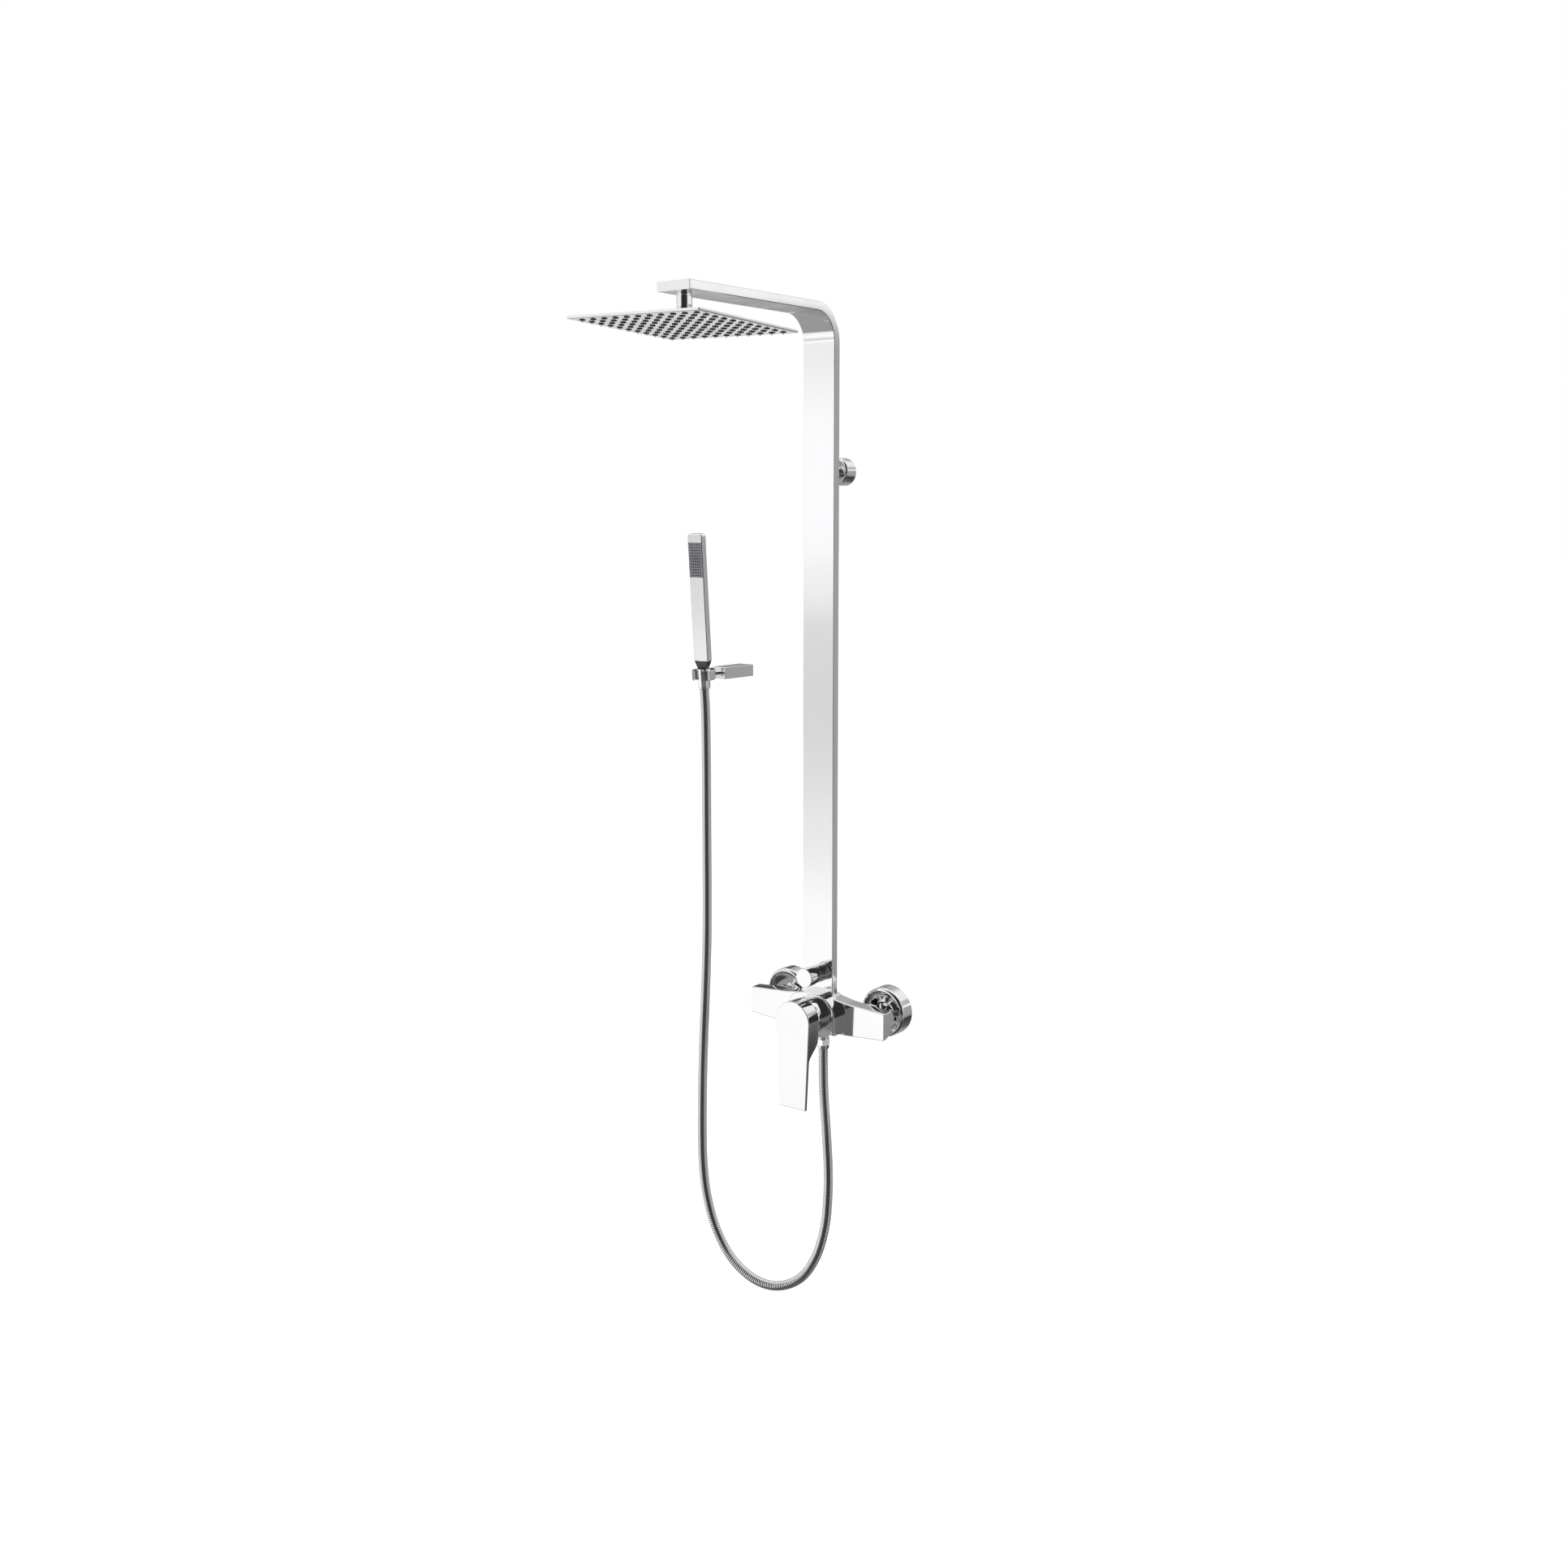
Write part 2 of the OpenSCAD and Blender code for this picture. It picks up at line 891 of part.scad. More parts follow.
// A bowl-shaped wall cover with a round lip, its hollow side facing the user
module escutcheon(side) {
    r = escutcheon_d / 2;
    wall = 1.5;
    lip = 3;
    hole = 10.8;
    bowl_w = r - 4 - hole;
    bowl_d = 13;
    color("gainsboro")
    translate([side * inlet_spacing / 2, 0, 0])
        out(0)
            rotate_extrude()
                difference() {
                    union() {
                        square([r, cup_depth - lip]);
                        square([r - lip, cup_depth]);
                        translate([r - lip, cup_depth - lip])
                            circle(r = lip, $fn = 32);
                    }
                    polygon([
                        [0, cup_depth + 1],
                        [hole + bowl_w, cup_depth + 1],
                        for (a = [0:10:90])
                            [hole + bowl_w * cos(a), cup_depth - bowl_d * sin(a)],
                        [0, cup_depth - bowl_d]
                    ]);
                    polygon([
                        [0, -1],
                        [r - wall, -1],
                        [r - wall, cup_depth - 9],
                        for (a = [20:10:90])
                            [
                                hole + (bowl_w + wall) * cos(a),
                                cup_depth - (bowl_d + wall) * sin(a)
                            ],
                        [0, cup_depth - bowl_d - wall]
                    ]);
                    square([hole, big]);
                }
}

module left_escutcheon() {
    escutcheon(-1);
}

module right_escutcheon() {
    escutcheon(1);
}

module inlet_nut(side) {
    nut_corner_r = nut_af / 2 / cos(30);
    color("silver")
    difference() {
        translate([side * nipple_spacing / 2, 0, 0])
            out(nut_back)
                cylinder(h = nut_front - nut_back, r = nut_corner_r, $fn = 6);
        rod_out(side * nipple_spacing / 2, 0, nut_back - 1, nut_front + 1, 10 + fit);
    }
}

module left_inlet_nut() {
    inlet_nut(-1);
}

module right_inlet_nut() {
    inlet_nut(1);
}

module inlet_washers() {
    color("darkslategray")
    for (side = [-1, 1])
        tube_out(side * nipple_spacing / 2, 0, 30, 32, 9.9, 6);
}

// ---------- hose ----------

module hose_outlet() {
    color("gainsboro")
    translate([0, -outlet_out, 0]) {
        tube_up(hose_nut_top, outlet_z - 1 - hose_nut_top, 8, 4.5);
        tube_up(outlet_z - 1, 8, 7.4, 4.5);
        tube_up(hose_nut_top - 7, 7, 7, 4.5);
    }
}

module hose_lower_nut() {
    nut_h = hose_nut_top - hose_start_z;
    color("silver")
    translate([0, -outlet_out, 0])
        difference() {
            union() {
                translate([0, 0, hose_nut_top - 9])
                    cylinder(h = 9, r = 9.8, $fn = 6);
                translate([0, 0, hose_start_z])
                    cylinder(h = nut_h - 9, r1 = 8, r2 = 8.4);
            }
            translate([0, 0, hose_nut_top - 9.5])
                cylinder(h = 20, r = 7 + fit);
            translate([0, 0, hose_start_z - 1])
                cylinder(h = nut_h, r = 4.5);
        }
}

module lower_hose_washer() {
    color("darkslategray")
    translate([0, -outlet_out, 0])
        tube_up(hose_nut_top - 9.4, 2.3, 6.9, 4.5);
}

module upper_hose_washer() {
    color("darkslategray")
    in_handset()
        tube_up(6.2, 2, 6.4, 4);
}

function along(a, b, c, d, t) =
    0.5 * ((2 * b) + (c - a) * t + (2 * a - 5 * b + 4 * c - d) * t * t
    + (3 * b - a - 3 * c + d) * t * t * t);

function unit(v) = v / norm(v);

route_last = len(hose_route) - 1;

function route_point(k) = hose_route[min(max(k, 0), route_last)];

// Smooth points through the route, several to each span
hose_line = [
    for (k = [0:route_last - 1], s = [0:rings_per_span - 1])
        along(
            route_point(k - 1), route_point(k), route_point(k + 1), route_point(k + 2),
            s / rings_per_span
        ),
    hose_route[route_last]
];

// A ring of points square to the line at its k-th point
function hose_ring(k) =
    let (
        last = len(hose_line) - 1,
        way = unit(hose_line[min(k + 1, last)] - hose_line[max(k - 1, 0)]),
        side = unit(cross(way, [0, 1, 0.05])),
        up = cross(side, way)
    )
    [
        for (s = [0:hose_sides - 1])
            hose_line[k]
            + hose_d / 2 * (cos(360 * s / hose_sides) * side + sin(360 * s / hose_sides) * up)
    ];

module shower_hose() {
    rings = len(hose_line);
    color("slategray")
    polyhedron(
        points = [for (k = [0:rings - 1]) each hose_ring(k)],
        faces = [
            [for (s = [0:hose_sides - 1]) s],
            for (k = [0:rings - 2], s = [0:hose_sides - 1])
                let (
                    a = k * hose_sides + s,
                    b = k * hose_sides + (s + 1) % hose_sides
                )
                [a, a + hose_sides, b + hose_sides, b],
            [for (s = [hose_sides - 1:-1:0]) (rings - 1) * hose_sides + s]
        ]
    );
}

// ---------- handset ----------

// The handset's own frame: origin at the middle of the clip, +Z along the handset
module in_handset() {
    translate([-holder_left, -handset_out, holder_z])
        rotate([handset_lean, 0, 0])
            children();
}

shell_bottom = 20;
shell_top = shell_bottom + handset_len;
spray_h = 49;
spray_top = shell_top - 12.5;
spray_w = 24.4;
shell_wall = 1.3;

module hose_cone_nut() {
    color("silver")
    in_handset()
        difference() {
            translate([0, 0, -20])
                cylinder(h = 29, r1 = cone_bottom_r, r2 = cone_top_r);
            translate([0, 0, -21])
                cylinder(h = 40, r = 4);
            translate([0, 0, 6])
                cylinder(h = 10, r = 6.5 + fit);
        }
}

module handset_collar() {
    color("dimgray")
    in_handset()
        difference() {
            hull() {
                translate([0, 0, 9])
                    cylinder(h = 1, r = 8, $fn = 32);
                translate([0, 0, shell_bottom - 2])
                    linear_extrude(height = 2)
                        round_rect(handset_w - 1, handset_t - 0.5, 3);
            }
            translate([0, 0, 8])
                cylinder(h = 20, r = 3);
        }
}

// A bar with the handset's rounded outline, seen from the front and from above
module handset_solid(shrink) {
    w = handset_w - 2 * shrink;
    t = handset_t - 2 * shrink;
    corner = 4.5 - shrink;
    intersection() {
        translate([0, 0, shell_bottom])
            linear_extrude(height = handset_len)
                round_rect(w, t, 3 - shrink);
        translate([0, big / 2, shell_top - handset_len / 2 - 10 - shrink])
            rotate([90, 0, 0])
                linear_extrude(height = big)
                    round_rect(w, handset_len + 20, corner);
    }
}

module handset_shell() {
    color("gainsboro")
    in_handset()
        difference() {
            handset_solid(0);
            handset_solid(shell_wall);
            translate([-spray_w / 2, -handset_t, spray_top - spray_h])
                cube([spray_w, handset_t, spray_h]);
        }
}

module handset_waterway() {
    color("whitesmoke")
    in_handset()
        tube_up(shell_bottom, 95, 3.4, 2.4);
}

module spray_plate() {
    plate_t = 2.4;
    color("gray")
    in_handset()
        translate([0, 0, spray_top - spray_h / 2])
            rotate([90, 0, 0])
                translate([0, 0, handset_t / 2 - plate_t + 0.2])
                    linear_extrude(height = plate_t)
                        square([spray_w - 0.1, spray_h - 0.1], center = true);
}

module spray_nozzles() {
    cols = 5;
    rows = 12;
    pitch = 3.9;
    color("dimgray")
    in_handset()
        for (i = [0:cols - 1], j = [0:rows - 1])
            translate([
                (i - (cols - 1) / 2) * pitch,
                0,
                spray_top - spray_h / 2 + (j - (rows - 1) / 2) * pitch
            ])
                rotate([90, 0, 0])
                    translate([0, 0, handset_t / 2 + 0.2])
                        cylinder(h = 0.8, r1 = 0.9, r2 = 0.7, $fn = 16);
}

// ---------- handset holder ----------

module holder_clip() {
    slot_w = 15;
    color("gainsboro")
    in_handset()
        difference() {
            union() {
                translate([0, 0, -clip_h / 2])
                    cylinder(h = clip_h, r = clip_r);
                translate([-7, 0, -clip_h / 2])
                    cube([14, 19, clip_h]);
            }
            translate([0, 0, -clip_h / 2 - 1])
                cylinder(h = clip_h + 2, r1 = cone_bottom_r + 0.9, r2 = cone_top_r + 0.3);
            translate([-slot_w / 2, -clip_r - 1, -clip_h])
                cube([slot_w, clip_r, 2 * clip_h]);
            rotate([-90 - handset_lean, 0, 0])
                translate([0, 0, 13.9])
                    cylinder(h = 20, r = 3 + fit);
        }
}

module holder_block() {
    block_w = 26;
    block_h = 17;
    block_out = 65;
    color("gainsboro")
    difference() {
        translate([-holder_left - block_w / 2, -block_out, holder_z - block_h / 2])
            cube([block_w, block_out, block_h]);
        translate([-holder_left - 11.2, -8.1, holder_z - 6.7])
            cube([22.4, 9, 13.4]);
        rod_out(-holder_left, holder_z, 52, block_out + 1, 3 + fit);
    }
}

module holder_pivot() {
    color("dimgray")
        rod_out(-holder_left, holder_z, 52.1, 84, 3);
}

module holder_wall_plate() {
    color("darkgray")
    difference() {
        translate([-holder_left - 11, -5, holder_z - 6.5])
            cube([22, 5, 13]);
        for (side = [-1, 1])
            rod_out(-holder_left + side * 6, holder_z, -1, 6, screw_r + 0.1);
    }
}

column_bar();
arm_end_cap();
riser_tube();
arm_outlet_block();
arm_nipple();
ball_nut();
ball_seat();
swivel_ball();
swivel_circlip();
head_hub();
head_shell();
head_face_plate();
nozzle_mat();
bracket_base();
bracket_rosette();
bracket_post();
bracket_grub_screw();
mixer_body();
cartridge();
cartridge_nut();
cartridge_cover();
cartridge_rotor();
cartridge_spindle();
lever();
lever_grub_screw();
lever_index_cap();
riser_connector();
diverter_block();
diverter_cartridge();
diverter_sleeve();
diverter_spindle();
diverter_knob();
diverter_knob_screw();
left_union();
right_union();
left_escutcheon();
right_escutcheon();
left_inlet_nut();
right_inlet_nut();
inlet_washers();
hose_outlet();
hose_lower_nut();
lower_hose_washer();
shower_hose();
upper_hose_washer();
hose_cone_nut();
handset_collar();
handset_shell();
handset_waterway();
spray_plate();
spray_nozzles();
holder_clip();
holder_block();
holder_pivot();
holder_wall_plate();
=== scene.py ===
"""Looks of a wall-mounted rainfall shower column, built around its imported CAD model."""
import json
import math

import bmesh
import bpy
import numpy as np
from mathutils import Matrix, Vector


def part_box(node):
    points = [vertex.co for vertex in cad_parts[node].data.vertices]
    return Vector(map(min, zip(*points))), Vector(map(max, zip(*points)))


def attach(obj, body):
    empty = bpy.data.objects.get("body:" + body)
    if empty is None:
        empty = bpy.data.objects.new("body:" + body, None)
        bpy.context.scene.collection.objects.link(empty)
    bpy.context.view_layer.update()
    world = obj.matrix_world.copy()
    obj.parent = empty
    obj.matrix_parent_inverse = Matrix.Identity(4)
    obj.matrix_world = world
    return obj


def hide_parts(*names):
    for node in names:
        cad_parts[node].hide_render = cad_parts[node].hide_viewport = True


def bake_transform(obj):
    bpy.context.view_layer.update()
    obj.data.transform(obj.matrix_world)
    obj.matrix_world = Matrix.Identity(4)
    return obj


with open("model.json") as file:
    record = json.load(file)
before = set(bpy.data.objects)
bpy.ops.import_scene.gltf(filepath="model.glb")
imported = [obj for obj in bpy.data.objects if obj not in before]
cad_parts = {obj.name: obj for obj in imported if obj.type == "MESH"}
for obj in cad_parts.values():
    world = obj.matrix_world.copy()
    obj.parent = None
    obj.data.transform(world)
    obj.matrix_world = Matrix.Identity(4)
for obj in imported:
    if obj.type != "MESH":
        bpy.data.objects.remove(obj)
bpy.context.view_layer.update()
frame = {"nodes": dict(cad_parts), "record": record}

# Lengths are in millimetres and are scaled to metres where a mesh is made.
MM = 0.001
ROOT = "fixed_column"

# Column
BAR_W = 52
BAR_T = 12
BAR_WALL = 1.5
BAR_OUT = 62
BEND_R = 50
FOOT_Z = 18
SHOULDER_END = 28
ARM_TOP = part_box("column_bar")[1].z / MM
ARM_REACH = -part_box("arm_end_cap")[0].y / MM
CAP_T = 2

# Rain head
BALL = (0, -339, 943)
HEAD_W = 200
HEAD_LEAN = (-2.3, 0.9, 2.5)
FACE_Z = -25
SKIN_Z = FACE_Z + 2.8
HUB_TOP = -16
HUB_R = 15.5
NOZZLE_ROWS = 11
NOZZLE_PITCH = 17.3
NOZZLE_R = 3.7
NOZZLE_LEN = 2.8

# Mixer. The two wing sizes are (depth, height, top).
AXIS_Z = -5
WING_OUT = 66
BOSS_OUT = 80
BODY_HALF_W = 115
WING_ROOT = 52
WING_ROOT_SIZE = (29, 46, 17)
WING_TIP_SIZE = (25, 37.5, 13)
BOSS_HALF_W = 42
BOSS_R = 31
BOSS_BOTTOM = -28
PIVOT_OUT = 84
DOME_R = 27.5
HUB_OUTER_R = 28.5
LEVER_BACK = 97
LEVER_OUT = 121
LEVER_LEN = 124
LEVER_TIP_W = 45
LEVER_TIP_T = 4.5
COVE_START = -28
COVE_END = -56
DIVERTER_Z = 51
SLEEVE_R = 12.5
KNOB_R = 13.5

# Wall parts
BRACKET_Z = 750
INLET_X = 84
NIPPLE_X = 75
OUTLET_OUT = 47
HOLDER_X = -175
HOLDER_Z = 466
HANDSET_OUT = 98
HANDSET_LEAN = 4
CLIP_R = 16.5
CLIP_H = 14.5

# Handset, along its own axis from the middle of the clip
SHELL_BOTTOM = 20
SHELL_TOP = 200
HANDSET_W = 26
HANDSET_T = 10
SPRAY_TOP = SHELL_TOP - 12.5
SPRAY_W = 24.4
SPRAY_H = 49

# Hose
HOSE_D = 14
HOSE_PITCH = 3.1
HOSE_ROUTE = [
    (0, -47, -61.2), (0, -47, -90), (2, -48, -130), (8, -50, -185),
    (12, -51, -236), (13, -53, -278), (10, -56, -323), (-3, -60, -370),
    (-28, -65, -408), (-66, -71, -428), (-105, -77, -425), (-142, -82, -401),
    (-167, -86, -362), (-181, -89, -317), (-187, -91, -270), (-188, -92, -215),
    (-186, -93, -141), (-183, -93, -67), (-179, -93, 5), (-176, -93, 77),
    (-175, -93, 149), (-175, -93, 210), (-175, -93, 270), (-175, -93, 340),
    (-175, -94, 408), (-175, -96.6, 445.5),
]


# ---------- placing ----------

def away_from_wall(x, z, out=0):
    """Local +Z points from the wall to the user, and local Y points up."""
    return Matrix.Translation((x, -out, z)) @ Matrix.Rotation(math.radians(90), 4, "X")


def euler(angles):
    rx, ry, rz = [math.radians(a) for a in angles]
    return (
        Matrix.Rotation(rz, 4, "Z") @ Matrix.Rotation(ry, 4, "Y") @ Matrix.Rotation(rx, 4, "X")
    )


IN_HEAD = Matrix.Translation(BALL) @ euler(HEAD_LEAN)
IN_HANDSET = Matrix.Translation((HOLDER_X, -HANDSET_OUT, HOLDER_Z)) @ euler((HANDSET_LEAN, 0, 0))


# ---------- outlines ----------

def arc(degrees, across, up, centre=(0, 0)):
    """Points of an ellipse about a centre, at each angle in degrees."""
    turns = [math.radians(a) for a in degrees]
    return [(centre[0] + across * math.cos(t), centre[1] + up * math.sin(t)) for t in turns]


def rounded(corners, steps=6):
    """A closed outline from corners (x, y, radius), each rounded by an arc."""
    points = []
    for i, (x, y, r) in enumerate(corners):
        corner = Vector((x, y))
        if r == 0:
            points.append((x, y))
            continue
        back = (Vector(corners[i - 1][:2]) - corner).normalized()
        ahead = (Vector(corners[(i + 1) % len(corners)][:2]) - corner).normalized()
        half = back.angle(ahead) / 2
        centre = corner + (back + ahead).normalized() * r / math.sin(half)
        start = corner + back * r / math.tan(half) - centre
        end = corner + ahead * r / math.tan(half) - centre
        turn = math.pi - 2 * half
        for k in range(steps + 1):
            t = k / steps
            arm = (start * math.sin((1 - t) * turn) + end * math.sin(t * turn)) / math.sin(turn)
            points.append(tuple(centre + arm))
    return points


def round_rect(w, h, r, steps=6):
    return rounded(
        [(-w / 2, -h / 2, r), (w / 2, -h / 2, r), (w / 2, h / 2, r), (-w / 2, h / 2, r)], steps
    )


# ---------- mesh building ----------

def mesh_object(name, points, faces, place=Matrix()):
    """A closed mesh from points in millimetres, moved by place."""
    mesh = bpy.data.meshes.new(name)
    mesh.from_pydata([(place @ Vector(p)) * MM for p in points], [], faces)
    work = bmesh.new()
    work.from_mesh(mesh)
    bmesh.ops.remove_doubles(work, verts=work.verts, dist=1e-7)
    bmesh.ops.dissolve_degenerate(work, edges=work.edges, dist=1e-8)
    bmesh.ops.recalc_face_normals(work, faces=work.faces)
    work.to_mesh(mesh)
    work.free()
    obj = bpy.data.objects.new(name, mesh)
    bpy.context.scene.collection.objects.link(obj)
    return obj


def lathe(name, outline, place=Matrix(), sides=96):
    """Turns a closed outline of (radius, height) about local Z."""
    n = len(outline)
    points = []
    for k in range(sides):
        a = 2 * math.pi * k / sides
        points += [(r * math.cos(a), r * math.sin(a), h) for r, h in outline]
    faces = []
    for k in range(sides):
        for i in range(n):
            j = (i + 1) % n
            if outline[i][0] < 1e-6 and outline[j][0] < 1e-6:
                continue
            low, high = k * n, ((k + 1) % sides) * n
            faces.append((low + i, low + j, high + j, high + i))
    return mesh_object(name, points, faces, place)


def loft(name, rings, place=Matrix()):
    """Joins closed rings of equally many points, and caps the first and the last."""
    n = len(rings[0])
    points = [p for ring in rings for p in ring]
    faces = []
    for k in range(len(rings) - 1):
        for i in range(n):
            j = (i + 1) % n
            faces.append((k * n + i, k * n + j, (k + 1) * n + j, (k + 1) * n + i))
    last = (len(rings) - 1) * n
    faces.append(tuple(range(n)))
    faces.append(tuple(range(last, last + n)))
    return mesh_object(name, points, faces, place)


def prism(name, outline, low, high, place=Matrix()):
    """Pushes an outline (x, y) along local Z from low to high."""
    return loft(name, [[(x, y, z) for x, y in outline] for z in (low, high)], place)


def block(name, low, high, place=Matrix()):
    outline = [(low[0], low[1]), (high[0], low[1]), (high[0], high[1]), (low[0], high[1])]
    return prism(name, outline, low[2], high[2], place)


def apply_modifiers(obj):
    graph = bpy.context.evaluated_depsgraph_get()
    mesh = bpy.data.meshes.new_from_object(obj.evaluated_get(graph))
    old = obj.data
    obj.modifiers.clear()
    obj.data = mesh
    mesh.name = obj.name
    bpy.data.meshes.remove(old)


def bevel(obj, width, segments=3, angle=30):
    """Rounds every edge that is sharper than angle."""
    m = obj.modifiers.new("bevel", "BEVEL")
    m.width = width * MM
    m.segments = segments
    m.limit_method = "ANGLE"
    m.angle_limit = math.radians(angle)
    m.use_clamp_overlap = True
    apply_modifiers(obj)
    return obj


def combine(obj, tool, how):
    """A boolean of obj with tool, which is used up."""
    m = obj.modifiers.new("boolean", "BOOLEAN")
    m.operation = how
    m.solver = "EXACT"
    m.object = tool
    apply_modifiers(obj)
    mesh = tool.data
    bpy.data.objects.remove(tool)
    bpy.data.meshes.remove(mesh)
    return obj


def cut(obj, tool):
    return combine(obj, tool, "DIFFERENCE")


def finish_piece(obj, material, body, nodes, sharp=40):
    """Shades the piece and ties it to the frame. Without a body, it stays unparented."""
    obj.data.materials.clear()
    obj.data.materials.append(material)
    obj.data.shade_smooth()
    obj.data.set_sharp_from_angle(angle=math.radians(sharp))
    weighted = obj.modifiers.new("weighted_normals", "WEIGHTED_NORMAL")
    weighted.keep_sharp = True
    if body:
        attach(obj, body)
    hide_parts(*nodes)
    return obj


# ---------- materials ----------

class Recipe:
    """A node material with a Principled shader and short ways to wire it."""

    def __init__(self, name, colour, metallic, roughness):
        self.material = bpy.data.materials.new(name)
        self.material.use_nodes = True
        self.tree = self.material.node_tree
        self.shader = self.tree.nodes["Principled BSDF"]
        self.shader.inputs["Base Color"].default_value = (*colour, 1)
        self.shader.inputs["Metallic"].default_value = metallic
        self.shader.inputs["Roughness"].default_value = roughness

    def node(self, kind, **values):
        made = self.tree.nodes.new(kind)
        for key, value in values.items():
            if hasattr(made, key):
                setattr(made, key, value)
            else:
                made.inputs[key].default_value = value
        return made

    def link(self, start, end):
        self.tree.links.new(start, end)

    def coordinates(self, stretch=(1, 1, 1)):
        """Object coordinates, stretched along the axes."""
        source = self.node("ShaderNodeTexCoord")
        mapping = self.node("ShaderNodeMapping")
        mapping.inputs["Scale"].default_value = stretch
        self.link(source.outputs["Object"], mapping.inputs["Vector"])
        return mapping.outputs["Vector"]

    def noise(self, scale, stretch=(1, 1, 1), detail=3.0):
        made = self.node("ShaderNodeTexNoise", Scale=scale, Detail=detail)
        self.link(self.coordinates(stretch), made.inputs["Vector"])
        return made.outputs["Fac"]

    def spread(self, source, low, high):
        """Maps a 0.3 to 0.7 noise onto low to high."""
        made = self.node("ShaderNodeMapRange")
        for key, value in (("From Min", 0.3), ("From Max", 0.7), ("To Min", low), ("To Max", high)):
            made.inputs[key].default_value = value
        self.link(source, made.inputs["Value"])
        return made.outputs["Result"]

    def roughness(self, source, low, high):
        self.link(self.spread(source, low, high), self.shader.inputs["Roughness"])

    def colour(self, source, dark, light):
        ramp = self.node("ShaderNodeMix", data_type="RGBA")
        for socket, value in zip([s for s in ramp.inputs if s.type == "RGBA"], (dark, light)):
            socket.default_value = (*value, 1)
        self.link(self.spread(source, 0, 1), ramp.inputs["Factor"])
        output = [s for s in ramp.outputs if s.type == "RGBA"][0]
        self.link(output, self.shader.inputs["Base Color"])

    def bump(self, source, strength, distance):
        made = self.node("ShaderNodeBump", Strength=strength, Distance=distance)
        self.link(source, made.inputs["Height"])
        self.link(made.outputs["Normal"], self.shader.inputs["Normal"])


def chrome_material(name, colour, low=0.035, high=0.085):
    """Polished plating: faint smears in the gloss, and a slight waviness."""
    r = Recipe(name, colour, 1.0, low)
    r.roughness(r.noise(38, detail=6), low, high)
    r.colour(r.noise(11, detail=4), tuple(c * 0.965 for c in colour), colour)
    r.bump(r.noise(26, detail=2), 0.05, 0.0004)
    return r.material


def brushed_material(name, colour, stretch, rough=0.3):
    """Fine scratches along one axis."""
    r = Recipe(name, colour, 1.0, rough)
    lines = r.noise(420, stretch=stretch, detail=4)
    r.roughness(lines, rough - 0.09, rough + 0.1)
    r.colour(r.noise(160, stretch=stretch), tuple(c * 0.92 for c in colour), colour)
    r.bump(lines, 0.12, 0.0002)
    return r.material


def soft_material(name, dark, light, rough, scale=240, bump=0.25):
    """Rubber, silicone or moulded plastic with a fine skin."""
    r = Recipe(name, light, 0.0, rough)
    r.colour(r.noise(60, detail=5), dark, light)
    grain = r.noise(scale, detail=5)
    r.roughness(grain, rough - 0.08, rough + 0.1)
    r.bump(grain, bump, 0.0003)
    return r.material


CHROME = chrome_material("polished_chrome", (0.90, 0.905, 0.915))
HOSE_STEEL = chrome_material("hose_steel", (0.80, 0.805, 0.815), 0.09, 0.15)
FACE_STEEL = brushed_material("face_steel", (0.88, 0.885, 0.895), (1, 0.06, 1), 0.15)
STEEL = brushed_material("plain_steel", (0.62, 0.63, 0.65), (1, 1, 0.1))
BRASS = brushed_material("turned_brass", (0.78, 0.60, 0.32), (1, 0.15, 1), 0.28)
SILICONE = soft_material("dark_silicone", (0.012, 0.012, 0.014), (0.03, 0.03, 0.034), 0.5)
RUBBER = soft_material("washer_rubber", (0.01, 0.01, 0.01), (0.025, 0.025, 0.025), 0.6)
WHITE_PLASTIC = soft_material("white_plastic", (0.74, 0.74, 0.72), (0.84, 0.84, 0.82), 0.35, 400, 0.08)
SPRAY_GREY = soft_material("spray_grey", (0.17, 0.175, 0.19), (0.24, 0.25, 0.265), 0.42, 500, 0.2)
COLLAR_DARK = soft_material("collar_dark", (0.02, 0.02, 0.022), (0.045, 0.045, 0.05), 0.3, 300, 0.08)
INDEX_RED = soft_material("index_red", (0.42, 0.02, 0.02), (0.62, 0.03, 0.03), 0.25, 300, 0.05)


# ---------- camera and hose ----------

def camera():
    """The viewing angle: from the front right, seven degrees downwards."""
    data = bpy.data.cameras.new("camera")
    data.sensor_width = 36
    data.lens = 38.27
    data.shift_y = -0.0362
    obj = bpy.data.objects.new("camera", data)
    obj.location = (1.342, -1.911, 0.6905)
    obj.rotation_euler = (math.radians(82.76), 0, math.radians(37.15))
    bpy.context.scene.collection.objects.link(obj)
    bpy.context.scene.camera = obj


def hose_line(step):
    """Points every step along the smooth curve through the route, in millimetres."""
    route = [np.array(p, float) for p in HOSE_ROUTE]
    route = [route[0]] + route + [route[-1]]
    fine = []
    for k in range(1, len(route) - 2):
        a, b, c, d = route[k - 1:k + 3]
        for t in np.linspace(0, 1, 60, endpoint=False):
            fine.append(0.5 * (
                2 * b + (c - a) * t + (2 * a - 5 * b + 4 * c - d) * t ** 2
                + (3 * b - a - 3 * c + d) * t ** 3
            ))
    fine.append(route[-1])
    fine = np.array(fine)
    lengths = np.concatenate([[0], np.cumsum(np.linalg.norm(np.diff(fine, axis=0), axis=1))])
    at = np.linspace(0, lengths[-1], int(lengths[-1] / step) + 1)
    return np.stack([np.interp(at, lengths, fine[:, i]) for i in range(3)], axis=1), at


